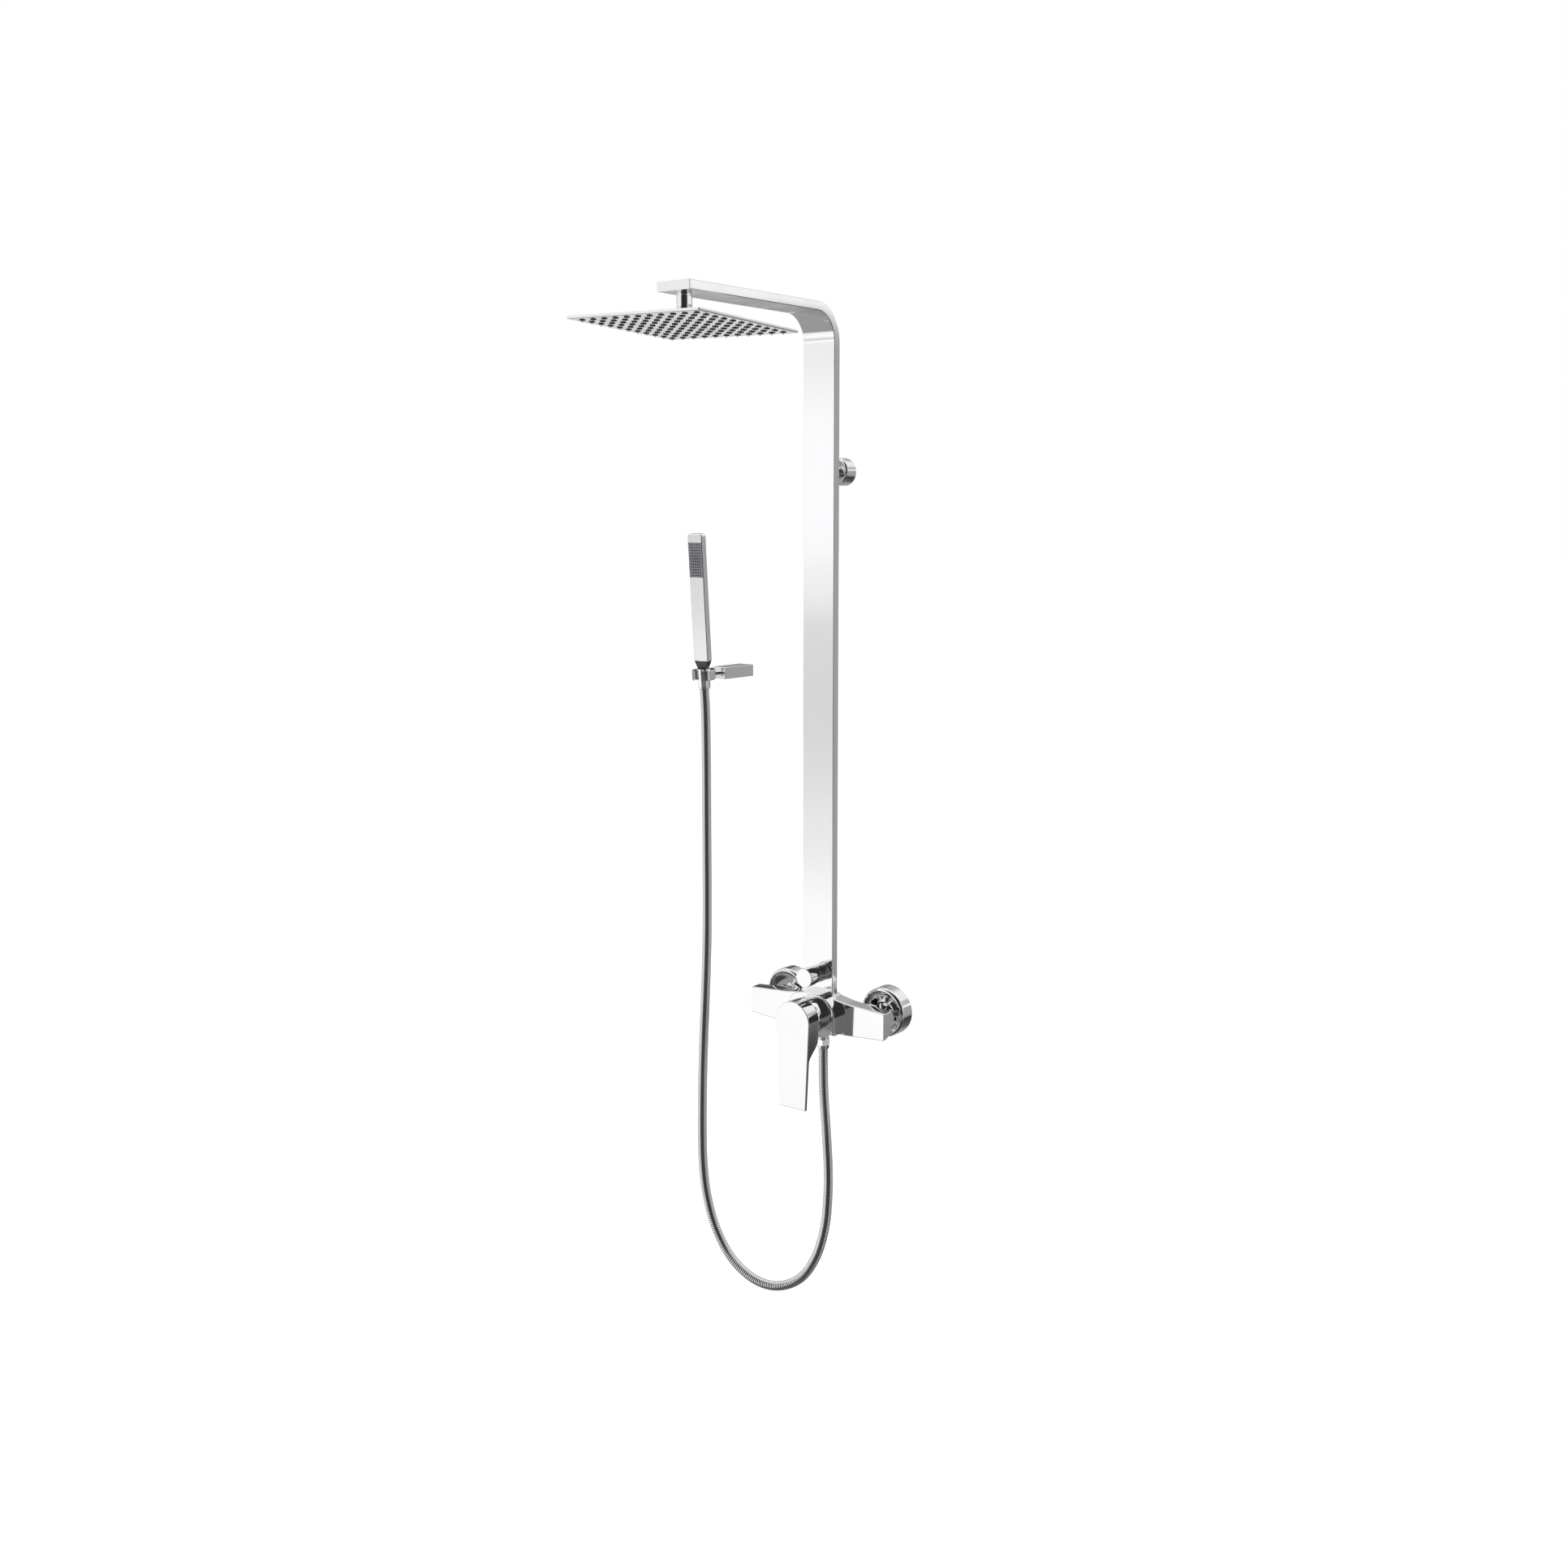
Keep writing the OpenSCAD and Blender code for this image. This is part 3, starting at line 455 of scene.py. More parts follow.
def shower_hose():
    """A spiral metal hose: one band wound round and round with a groove between turns."""
    sides = 20
    groove = 0.55
    line, at = hose_line(0.5)
    ways = np.gradient(line, axis=0)
    ways /= np.linalg.norm(ways, axis=1)[:, None]
    side = np.array([1.0, 0, 0])
    rings = []
    for point, way, s in zip(line, ways, at):
        side = side - way * side.dot(way)
        side /= np.linalg.norm(side)
        up = np.cross(way, side)
        turn = np.arange(sides) / sides
        phase = (s / HOSE_PITCH - turn) % 1.0
        dip = np.clip(1 - np.abs(phase - 0.5) / 0.22, 0, 1)
        crown = 0.12 * np.cos(2 * np.pi * phase)
        r = HOSE_D / 2 - 0.12 - groove * dip ** 0.7 + crown
        a = 2 * np.pi * turn
        rings.append([
            tuple(point + r[k] * (math.cos(a[k]) * side + math.sin(a[k]) * up))
            for k in range(sides)
        ])
    hose = loft("metal_hose", rings)
    finish_piece(hose, HOSE_STEEL, None, ["shower_hose"], sharp=80)
    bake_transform(hose)


camera()
shower_hose()


# ---------- column ----------

def bar_stations():
    """Middle line of the bar from the mixer up, round the bend and along the arm.

    Each station is (y, z, angle), where angle turns the bar's section about X.
    """
    bend_y = BAR_OUT - BAR_T + BEND_R
    bend_z = ARM_TOP - BEND_R
    mid_out = BAR_OUT - BAR_T / 2
    mid_r = BEND_R - BAR_T / 2
    stations = [(-mid_out, z, 0) for z in np.linspace(FOOT_Z, bend_z, 24)]
    for a in np.linspace(0, 90, 33)[1:]:
        turn = math.radians(a)
        stations.append((-bend_y + mid_r * math.cos(turn), bend_z + mid_r * math.sin(turn), a))
    for out in np.linspace(bend_y, ARM_REACH - CAP_T, 12)[1:]:
        stations.append((-out, bend_z + mid_r, 90))
    return stations


def bar_skin(name, w, t, r, stations):
    outline = round_rect(w, t, r, 5)
    rings = []
    for y, z, a in stations:
        turn = math.radians(a)
        rings.append([(px, y + py * math.cos(turn), z + py * math.sin(turn)) for px, py in outline])
    return loft(name, rings)


def column_bar():
    stations = bar_stations()
    bar = bar_skin("flat_bar", BAR_W, BAR_T, 1.1, stations)
    low, high = stations[0], stations[-1]
    inner = [(low[0], low[1] - 1, 0)] + stations + [(high[0] - 1, high[1], 90)]
    cut(bar, bar_skin("hollow", BAR_W - 2 * BAR_WALL, BAR_T - 2 * BAR_WALL, 0.5, inner))
    finish_piece(bar, CHROME, ROOT, ["column_bar"])


def arm_end_cap():
    mid_z = ARM_TOP - BAR_T / 2
    outline = round_rect(BAR_W, BAR_T, 1.1, 5)
    cap = prism("arm_cap", outline, ARM_REACH - CAP_T + 0.12, ARM_REACH, away_from_wall(0, mid_z))
    bevel(cap, 0.45, 3, 50)
    finish_piece(cap, CHROME, ROOT, ["arm_end_cap"])


def ball_nut():
    """A round nut with a flange against the arm and a ball-shaped lower end."""
    r = 9.5
    socket_r = 7.1
    top = 15
    mouth = -5.6
    mouth_r = 6.45
    outline = [
        (socket_r, top), (r - 0.5, top), (r, top - 0.5), (r, 11.4), (r - 0.5, 10.9),
        (r - 0.5, 10.3), (r, 9.8),
    ]
    outline += arc(range(0, -37, -4), r, r)
    outline += [(7.4, mouth), (mouth_r, mouth), (mouth_r, -2.95)]
    outline += arc(range(-24, 61, 6), socket_r, socket_r)
    outline += [(6.6, 8), (6.6, 12)]
    nut = lathe("ball_joint_nut", outline, Matrix.Translation(BALL))
    finish_piece(nut, CHROME, ROOT, ["ball_nut"], 35)


def swivel_ball():
    """The ball with its stem, which goes down into the head's collar."""
    outline = [(2.5, -23.2), (4.7, -23.2), (4.7, -22.1), (5.5, -22.1), (5.5, -16.2), (4.2, -15.6)]
    outline += arc(range(-52, 70, 6), 7, 7)
    outline.append((2.5, 6.5))
    ball = lathe("swivel_stem", outline, IN_HEAD, 64)
    finish_piece(ball, CHROME, "ball_stem", ["swivel_ball"], 35)


# ---------- rain head ----------

def head_hub():
    low = SKIN_Z + 2.8
    hub = lathe("head_collar", rounded([
        (5.6, low, 0), (HUB_R, low, 0.3), (HUB_R, HUB_TOP, 1.3), (5.6, HUB_TOP, 0.5),
    ]), IN_HEAD)
    finish_piece(hub, CHROME, "rain_head", ["head_hub"])


def head_shell():
    """A thin square tray with rolled edges and a shallow round rise on top."""
    top = SKIN_Z + 0.8
    rim = 1.4

    def ring(w, z, r):
        return [(x, y, z) for x, y in round_rect(w, w, r, 5)]

    lip = 0.7
    rings = [ring(HEAD_W - 2 * rim, SKIN_Z, 0.4), ring(HEAD_W - 2 * rim, FACE_Z + 0.2, 0.4)]
    for a in range(0, 181, 30):
        turn = math.radians(a)
        rings.append(ring(
            HEAD_W - 2 * lip - 2 * lip * math.cos(turn), FACE_Z + lip - lip * math.sin(turn), 1.6
        ))
    for a in range(0, 91, 18):
        turn = math.radians(a)
        rings.append(ring(HEAD_W - 3 + 3 * math.cos(turn), top - 1.5 + 1.5 * math.sin(turn), 1.6))
    shell = loft("head_tray", rings, IN_HEAD)
    rise = lathe("rise", rounded([
        (0, top - 0.5, 0), (80, top - 0.5, 0), (78, top + 0.05, 0), (70, top + 2, 6), (0, top + 2, 0),
    ]), IN_HEAD)
    combine(shell, rise, "UNION")
    finish_piece(shell, CHROME, "rain_head", ["head_shell"])


def nozzle_places():
    """Centres of the nozzles in the head's plane."""
    half = (NOZZLE_ROWS - 1) / 2
    steps = [(i - half) * NOZZLE_PITCH for i in range(NOZZLE_ROWS)]
    return [(x, y) for x in steps for y in steps]


def gather(name, parts):
    """Joins separate objects into one."""
    points, faces = [], []
    for part in parts:
        start = len(points)
        points += [tuple(v.co) for v in part.data.vertices]
        faces += [tuple(start + i for i in p.vertices) for p in part.data.polygons]
        mesh = part.data
        bpy.data.objects.remove(part)
        bpy.data.meshes.remove(mesh)
    mesh = bpy.data.meshes.new(name)
    mesh.from_pydata(points, [], faces)
    obj = bpy.data.objects.new(name, mesh)
    bpy.context.scene.collection.objects.link(obj)
    return obj


def head_face():
    """The drilled face: one cell round each nozzle hole, and a plain margin."""
    half_cell = NOZZLE_PITCH / 2
    hole_r = NOZZLE_R + 0.15
    quarter = 8
    points, faces = [], []
    for cx, cy in nozzle_places():
        start = len(points)
        count = 4 * quarter
        for k in range(count):
            a = 2 * math.pi * (k + 0.5) / count
            c, s = math.cos(a), math.sin(a)
            reach = half_cell / max(abs(c), abs(s))
            points.append((cx + hole_r * c, cy + hole_r * s, FACE_Z + 0.8))
            points.append((cx + hole_r * c, cy + hole_r * s, FACE_Z + 0.25))
            points.append((cx + (hole_r + 0.25) * c, cy + (hole_r + 0.25) * s, FACE_Z))
            points.append((cx + reach * c, cy + reach * s, FACE_Z))
        for k in range(count):
            low, high = start + 4 * k, start + 4 * ((k + 1) % count)
            for i in range(3):
                faces.append((low + i, low + i + 1, high + i + 1, high + i))
            if k % quarter == quarter // 2 - 1:
                corner_x = math.copysign(half_cell, math.cos(2 * math.pi * (k + 1) / count))
                corner_y = math.copysign(half_cell, math.sin(2 * math.pi * (k + 1) / count))
                points.append((cx + corner_x, cy + corner_y, FACE_Z))
                faces.append((low + 3, len(points) - 1, high + 3))
    grid = NOZZLE_ROWS * half_cell
    edge = HEAD_W / 2 - 1.45
    strip = ((-grid, -grid), (grid, -grid), (edge, -edge), (-edge, -edge))
    for side in range(4):
        turn = Matrix.Rotation(math.radians(90 * side), 2)
        start = len(points)
        points += [(*(turn @ Vector(p)), FACE_Z) for p in strip]
        faces.append((start, start + 1, start + 2, start + 3))
    face = mesh_object("head_face", points, faces, IN_HEAD)
    finish_piece(face, FACE_STEEL, "rain_head", ["head_face_plate"], 30)


def head_nozzles():
    """A soft nozzle at each hole, with a small opening in its tip."""
    root = FACE_Z + 0.9
    tip = FACE_Z - NOZZLE_LEN
    mouth = tip + 0.9
    outline = [(0, root), (NOZZLE_R, root), (NOZZLE_R, FACE_Z), (3.5, FACE_Z - 0.9)]
    outline += rounded([(2.85, tip, 0.7), (1.0, tip, 0.2), (0.9, mouth, 0)], 3)[:-1]
    outline.append((0, mouth))
    parts = []
    for x, y in nozzle_places():
        parts.append(lathe("nozzle", outline, IN_HEAD @ Matrix.Translation((x, y, 0)), 20))
    nozzles = gather("soft_nozzles", parts)
    finish_piece(nozzles, SILICONE, "rain_head", ["nozzle_mat"])


# ---------- wall bracket ----------

def bracket():
    place = away_from_wall(0, BRACKET_Z)
    cup = lathe("bracket_cup", rounded([
        (17.5, 0, 0), (19, 0, 0.3), (19, 22, 4), (10.2, 22, 0.5), (10.2, 20.6, 0), (17.5, 20.6, 2.5),
    ]), place)
    finish_piece(cup, CHROME, ROOT, ["bracket_rosette"])
    post = lathe("bracket_stub", rounded([
        (7.1, 15, 0), (10, 15, 0), (10, 49.9, 0.4), (7.1, 49.9, 0),
    ]), place)
    finish_piece(post, CHROME, ROOT, ["bracket_post"])


# ---------- mixer ----------

def wing_section(depth, height, top):
    """Section in (y, z): flat front and top, and a back that curves in below."""
    points = rounded([
        (-WING_OUT + 6, top - height * 0.985, 0),
        (-WING_OUT, top - height, 1.2),
        (-WING_OUT, top, 1.6),
        (-WING_OUT + 6, top, 0),
    ], 4)
    for a in range(90, -1, -10):
        turn = math.radians(a)
        points.append((
            -WING_OUT + depth * (0.72 + 0.28 * math.cos(turn)),
            top - height * 0.28 * (1 - math.sin(turn)),
        ))
    for a in range(8, 77, 6):
        turn = math.radians(a)
        points.append((
            -WING_OUT + depth * math.cos(turn), top - height * (0.28 + 0.72 * math.sin(turn)),
        ))
    return points


def blend_from_centre(x):
    """1 under the column, falling smoothly to 0 at the wing's root."""
    t = min(1, max(0, (abs(x) - SHOULDER_END) / (WING_ROOT - SHOULDER_END)))
    return 0.5 + 0.5 * math.cos(math.pi * t)


def shoulder_top(x):
    """Top of the body under the column, just under the boss's round shoulders."""
    d = max(0, abs(x) - BOSS_HALF_W + BOSS_R)
    return AXIS_Z + math.sqrt((BOSS_R - 0.4) ** 2 - d ** 2)


def body_section(x):
    """Depth, height and top of the mixer's section at x."""
    if abs(x) >= WING_ROOT:
        t = (abs(x) - WING_ROOT) / (BODY_HALF_W - WING_ROOT)
        return tuple(a + (b - a) * t for a, b in zip(WING_ROOT_SIZE, WING_TIP_SIZE))
    depth, height, wing_top = WING_ROOT_SIZE
    bottom = wing_top - height
    top = shoulder_top(min(abs(x), SHOULDER_END))
    if abs(x) > SHOULDER_END:
        top += (wing_top - top) * (abs(x) - SHOULDER_END) / (WING_ROOT - SHOULDER_END)
    return depth + 2 * blend_from_centre(x), top - bottom, top


def boss_ring(grow):
    """The boss's outline in (x, z): round shoulders above, straight flanks, round below."""
    shoulder = BOSS_HALF_W - BOSS_R
    r = BOSS_R + grow
    points = []
    for centre, start in ((shoulder, 0), (-shoulder, 90)):
        points += arc(range(start, start + 91, 5), r, r, (centre, AXIS_Z))
    low = BOSS_BOTTOM - grow
    points += [(-BOSS_HALF_W - grow, low)]
    for a in range(228, 313, 6):
        turn = math.radians(a)
        centre = shoulder * max(-1, min(1, 3 * math.cos(turn)))
        points.append((centre + r * math.cos(turn), AXIS_Z + r * math.sin(turn)))
    points += [(BOSS_HALF_W + grow, low)]
    return points


def mixer_boss():
    """The round-shouldered boss, with a small rounded rim about its face."""
    rim = 1.2
    rings = []
    for a in range(0, 91, 15):
        turn = math.radians(a)
        out = BOSS_OUT - rim + rim * math.cos(turn)
        rings.append([(x, -out, z) for x, z in boss_ring(-rim + rim * math.sin(turn))])
    rings.append([(x, -WING_OUT + 5, z) for x, z in boss_ring(0)])
    return loft("boss", rings)


def mixer_body():
    """The winged casting with its boss, its seats and the bar's pocket."""
    stations = [-BODY_HALF_W, -BODY_HALF_W + 0.8]
    stations += list(np.linspace(-BODY_HALF_W + 6, -WING_ROOT, 8))
    stations += list(np.linspace(-WING_ROOT, WING_ROOT, 45)[1:-1])
    stations += [-x for x in stations[9::-1]]
    rings = []
    for x in stations:
        depth, height, top = body_section(x)
        if abs(x) == BODY_HALF_W:
            ring = wing_section(depth - 0.8, height - 1.0, top - 0.5)
            rings.append([(x, y + 0.3, z) for y, z in ring])
        else:
            rings.append([(x, y, z) for y, z in wing_section(depth, height, top)])
    body = loft("mixer_casting", rings)
    combine(body, mixer_boss(), "UNION")
    combine(body, lathe("pod", rounded([(0, 44, 0), (21, 44, 3), (21, 60, 0), (0, 60, 0)]),
                        away_from_wall(0, AXIS_Z)), "UNION")
    combine(body, lathe("outlet_boss", rounded([(0, -31, 0), (11, -31, 1), (11, -10, 0), (0, -10, 0)]),
                        Matrix.Translation((0, -OUTLET_OUT, 0))), "UNION")
    for side in (-1, 1):
        combine(body, lathe("nipple", [(0, 32), (10, 32), (10, 50), (0, 50)],
                            away_from_wall(side * NIPPLE_X, 0)), "UNION")
    cut(body, lathe("seat", [(0, 50), (17.45, 50), (17.45, 74), (19.05, 74), (19.05, 81), (0, 81)],
                    away_from_wall(0, AXIS_Z)))
    cut(body, block("bar_pocket", (-BAR_W / 2 - 0.05, -BAR_OUT - 0.05, FOOT_Z),
                    (BAR_W / 2 + 0.05, -BAR_OUT + BAR_T + 0.05, 40)))
    cut(body, lathe("outlet_bore", [(0, -40), (7.45, -40), (7.45, -23), (0, -23)],
                    Matrix.Translation((0, -OUTLET_OUT, 0))))
    finish_piece(body, CHROME, ROOT, ["mixer_body"], 30)


def cartridge_cover():
    """A ball-shaped dome, open in front where the lever's spindle passes."""
    outline = [(DOME_R, BOSS_OUT - PIVOT_OUT)]
    inner_r = DOME_R - 1.5
    outline += arc(range(0, 50, 3), DOME_R, DOME_R)
    outline += [(17.2, 20.4), (17.2, 19)]
    outline += arc(range(48, -1, -4), inner_r, inner_r)
    outline.append((inner_r, BOSS_OUT - PIVOT_OUT + 0.05))
    dome = lathe("cartridge_dome", outline, away_from_wall(0, AXIS_Z, PIVOT_OUT))
    finish_piece(dome, CHROME, ROOT, ["cartridge_cover"])


def lever_back(z):
    """Distance of the lever's back from the wall at height z about the axis."""
    taper = 0.6
    blade = LEVER_OUT - LEVER_TIP_T - taper
    if z >= COVE_START:
        return LEVER_BACK
    if z <= COVE_END:
        return blade + taper * (z - COVE_END) / (-LEVER_LEN - COVE_END)
    t = (COVE_START - z) / (COVE_START - COVE_END)
    return LEVER_BACK + (blade - LEVER_BACK) * (0.5 - 0.5 * math.cos(math.pi * t))


def lever():
    """Round hub and tapering blade in one, hollow behind to clear the dome."""
    slope = math.asin((HUB_OUTER_R - LEVER_TIP_W / 2) / LEVER_LEN)
    rim = [
        (HUB_OUTER_R * math.cos(a), HUB_OUTER_R * math.sin(a))
        for a in np.linspace(-slope, math.pi + slope, 73)
    ]
    heights = [-12, -22] + list(np.linspace(COVE_START, COVE_END, 17)) + [-90, -LEVER_LEN]

    def edge(z):
        start_x, start_z = rim[0]
        t = (z - start_z) / (-LEVER_LEN - start_z)
        return start_x + (LEVER_TIP_W / 2 - start_x) * t

    right = [(edge(z), z) for z in heights]
    left = [(-x, z) for x, z in right]
    outline = rim + left + right[::-1]
    n = len(outline)
    place = away_from_wall(0, AXIS_Z)
    points = [(x, z, LEVER_OUT) for x, z in outline] + [(x, z, lever_back(z)) for x, z in outline]
    faces = [(i, (i + 1) % n, n + (i + 1) % n, n + i) for i in range(n)]
    faces.append(tuple(range(n)))
    first = len(rim)
    hub = list(range(first + 1)) + [n - 1]
    faces.append(tuple(n + i for i in hub))
    for k in range(len(heights) - 1):
        a, b = first + k, first + k + 1
        c, d = n - 2 - k, n - 1 - k
        faces.append((n + a, n + b, n + c, n + d))
    blade = mesh_object("mixer_lever", points, faces, place)
    bevel(blade, 1.1, 4, 50)
    clear = DOME_R + 0.4
    ball = arc(np.linspace(-90, 90, 49), clear, clear)
    cut(blade, lathe("clearance", ball, away_from_wall(0, AXIS_Z, PIVOT_OUT), 128))
    finish_piece(blade, CHROME, "lever_group", ["lever"], 30)


def diverter():
    """The sleeve with its two grooves, and the knob in front of it."""
    place = away_from_wall(0, DIVERTER_Z)
    groove_r = SLEEVE_R - 1.3
    corners = [(9, BAR_OUT, 0), (SLEEVE_R, BAR_OUT, 0.2)]
    for low in (65.2, 70.8):
        high = low + 2.4
        corners += [(SLEEVE_R, low, 0.4), (groove_r, low, 0.3), (groove_r, high, 0.3), (SLEEVE_R, high, 0.4)]
    corners += [(SLEEVE_R, 79, 0.5), (9, 79, 0)]
    sleeve = lathe("knob_sleeve", rounded(corners, 3), place)
    finish_piece(sleeve, CHROME, ROOT, ["diverter_sleeve"], 30)
    knob = lathe("knob", rounded([
        (3.1, 79.4, 0), (KNOB_R, 79.4, 0.6), (KNOB_R, 94, 0.9), (0, 94, 0), (0, 90.2, 0),
        (3.1, 90.2, 0),
    ]), place)
    cut(knob, lathe("screw_hole", [(0, 0), (1.6, 0), (1.6, 12), (0, 12)],
                    Matrix.Translation((0, -86, DIVERTER_Z - 15)), 24))
    finish_piece(knob, CHROME, "diverter_group", ["diverter_knob"], 30)


# ---------- inlets ----------

def escutcheons():
    """Round wall covers whose fronts sink in as a bowl towards the union."""
    r = 35
    depth = 24
    hole = 10.9
    wall = 1.5
    lip = 4.2
    bowl_w = r - lip - hole
    bowl_d = 13
    outline = [(r - wall, 0), (r - 0.3, 0), (r, 0.3)]
    outline += arc(range(0, 91, 9), lip, lip, (r - lip, depth - lip))
    outline += arc(range(5, 91, 5), bowl_w, -bowl_d, (hole, depth))
    outline += arc(range(90, 14, -5), bowl_w + wall, -bowl_d - wall, (hole, depth))
    outline.append((r - wall, depth - 9))
    for side, name in ((-1, "left_escutcheon"), (1, "right_escutcheon")):
        cup = lathe(name + "_cup", outline, away_from_wall(side * INLET_X, 0), 128)
        finish_piece(cup, CHROME, ROOT, [name])


def hex_nut(name, flats, low, high, bore, place, chamfer=1.0):
    """A hexagonal nut whose corners are turned off at both ends."""
    corner = flats / 2 / math.cos(math.radians(30))
    nut = prism(name, arc(range(0, 360, 60), corner, corner), low, high, place)
    bevel(nut, 0.35, 2)
    edge = flats / 2 + 0.2
    combine(nut, lathe("turned", [
        (0, low), (edge, low), (corner + 0.2, low + chamfer), (corner + 0.2, high - chamfer),
        (edge, high), (0, high),
    ], place), "INTERSECT")
    cut(nut, lathe("bore", [(0, low - 1), (bore, low - 1), (bore, high + 1), (0, high + 1)], place))
    return nut


def inlet_nuts():
    for side, word in ((-1, "left"), (1, "right")):
        place = away_from_wall(side * NIPPLE_X, 0)
        nut = hex_nut(word + "_union_nut", 27, 25.4, 37.3, 10.05, place)
        finish_piece(nut, CHROME, ROOT, [word + "_inlet_nut"], 30)


# ---------- hose ends ----------

def hose_outlet():
    """The outlet pipe below the mixer, and the hose's union nut on it."""
    place = Matrix.Translation((0, -OUTLET_OUT, 0))
    outlet = lathe("hose_outlet_pipe", rounded([
        (4.5, -54, 0), (7, -54, 0), (7, -47, 0), (8, -47, 0.4), (8, -31, 0.6), (7.4, -31, 0),
        (7.4, -23.1, 0), (4.5, -23.1, 0),
    ], 3), place, 64)
    finish_piece(outlet, CHROME, ROOT, ["hose_outlet"])
    nut = hex_nut("hose_union_nut", 17, -56, -47, 7.05, place, 0.8)
    skirt = lathe("skirt", rounded([
        (4.5, -61, 0), (8, -61, 0.6), (8.4, -55.5, 0), (4.5, -55.5, 0),
    ], 4), place, 64)
    combine(nut, skirt, "UNION")
    finish_piece(nut, CHROME, ROOT, ["hose_lower_nut"], 30)


def cone_nut():
    """The long tapered nut that hangs in the clip, with a narrow foot ring."""
    nut = lathe("tapered_nut", rounded([
        (4.1, -20, 0), (8.8, -20, 0.5), (8.87, -18.4, 0.2), (8.5, -18.0, 0.2), (8.5, -17.2, 0.2),
        (8.95, -16.8, 0.2), (10.1, 9, 0.5), (6.6, 9, 0), (6.6, 6, 0), (4.1, 6, 0),
    ], 3), IN_HANDSET)
    finish_piece(nut, CHROME, "hand_shower", ["hose_cone_nut"])


# ---------- handset ----------

def handset_ring(z, shrink_x, shrink_y):
    """The shell's section at height z, shrunk on each side."""
    w = HANDSET_W - 2 * shrink_x
    t = HANDSET_T - 2 * shrink_y
    return [(x, y, z) for x, y in round_rect(w, t, min(1.4, w / 2 - 0.1, t / 2 - 0.1), 8)]


def handset_collar():
    """A dark collar, round at its foot and as wide as the shell at its top."""
    foot_r = 8
    rings = []
    top = [Vector(p[:2]) for p in handset_ring(0, 0.5, 0.25)]
    low, high = 9.2, SHELL_BOTTOM - 0.15
    bottom = []
    for p in top:
        direction = math.atan2(p.y, p.x)
        bottom.append(Vector((foot_r * math.cos(direction), foot_r * math.sin(direction))))
    for t in np.linspace(0, 1, 9):
        ease = t ** 0.85
        rings.append([
            (*(bottom[i].lerp(top[i], ease)), low + (high - low) * t) for i in range(len(top))
        ])
    collar = loft("grip_collar", rings, IN_HANDSET)
    bevel(collar, 0.35, 2, 50)
    finish_piece(collar, COLLAR_DARK, "hand_shower", ["handset_collar"])


def handset_shell():
    """A flat stick with a rounded top and a shallow window for the spray plate."""
    corner = 4.5
    edge = 1.2
    rings = [handset_ring(SHELL_BOTTOM, 0.25, 0.25), handset_ring(SHELL_BOTTOM + 0.3, 0, 0)]
    for z in np.linspace(SHELL_BOTTOM + 10, SHELL_TOP - corner, 8):
        rings.append(handset_ring(z, 0, 0))
    for a in range(9, 82, 9):
        turn = math.radians(a)
        z = SHELL_TOP - corner + corner * math.sin(turn)
        rise = max(0, z - (SHELL_TOP - edge)) / edge
        sink = edge * (1 - math.sqrt(1 - rise ** 2))
        rings.append(handset_ring(z, corner * (1 - math.cos(turn)), sink))
    rings.append(handset_ring(SHELL_TOP, corner * 0.95, edge * 0.95))
    shell = loft("handset_body", rings, IN_HANDSET)
    outline = round_rect(SPRAY_W + 0.5, SPRAY_H + 0.5, 1.2)
    window = [(x, -HANDSET_T / 2 - 1, SPRAY_TOP - SPRAY_H / 2 + z) for x, z in outline]
    floor = [(x, -HANDSET_T / 2 + 1.3, z) for x, _, z in window]
    cut(shell, loft("window", [window, floor], IN_HANDSET))
    finish_piece(shell, CHROME, "hand_shower", ["handset_shell"], 30)


def spray_plate():
    """The grey plate and its small soft nozzles."""
    mid = SPRAY_TOP - SPRAY_H / 2
    place = IN_HANDSET @ away_from_wall(0, mid, 0)
    plate = prism("spray_face", round_rect(SPRAY_W - 0.1, SPRAY_H - 0.1, 1.0), 3.8, 5.2, place)
    bevel(plate, 0.3, 3, 50)
    finish_piece(plate, SPRAY_GREY, "hand_shower", ["spray_plate"])
    pitch = 3.9
    outline = rounded([(0, 5.1, 0), (1.0, 5.1, 0), (0.75, 6.0, 0.25), (0, 6.0, 0)], 3)
    parts = []
    for i in range(5):
        for j in range(12):
            shift = Matrix.Translation(((i - 2) * pitch, (j - 5.5) * pitch, 0))
            parts.append(lathe("jet", outline, place @ shift, 14))
    jets = gather("spray_jets", parts)
    finish_piece(jets, SILICONE, "hand_shower", ["spray_nozzles"])


# ---------- holder ----------

def holder():
    """The open clip with its short arm, and the block that carries it off the wall."""
    half = CLIP_H / 2
    ring = lathe("clip_ring", rounded([
        (9.74, -half, 0.4), (CLIP_R, -half, 0.9), (CLIP_R, half, 0.9), (10.36, half, 0.4),
    ], 4), IN_HANDSET)
    arm = block("clip_arm", (-7, 11, -half), (7, 19, half), IN_HANDSET)
    bevel(arm, 0.8, 3)
    combine(ring, arm, "UNION")
    cut(ring, block("slot", (-7.5, -18, -10), (7.5, -1, 10), IN_HANDSET))
    cut(ring, lathe("bore", [(0, 13.9), (3.1, 13.9), (3.1, 40), (0, 40)],
                    IN_HANDSET @ Matrix.Rotation(math.radians(-90 - HANDSET_LEAN), 4, "X"), 32))
    finish_piece(ring, CHROME, ROOT, ["holder_clip"], 30)
    arm_block = block("holder_arm", (HOLDER_X - 13, -65, HOLDER_Z - 8.5),
                      (HOLDER_X + 13, 0, HOLDER_Z + 8.5))
    bevel(arm_block, 0.7, 3)
    cut(arm_block, block("pocket", (HOLDER_X - 11.2, -8.1, HOLDER_Z - 6.7),
                         (HOLDER_X + 11.2, 1, HOLDER_Z + 6.7)))
    finish_piece(arm_block, CHROME, ROOT, ["holder_block"], 30)


# ---------- carried-over CAD nodes ----------

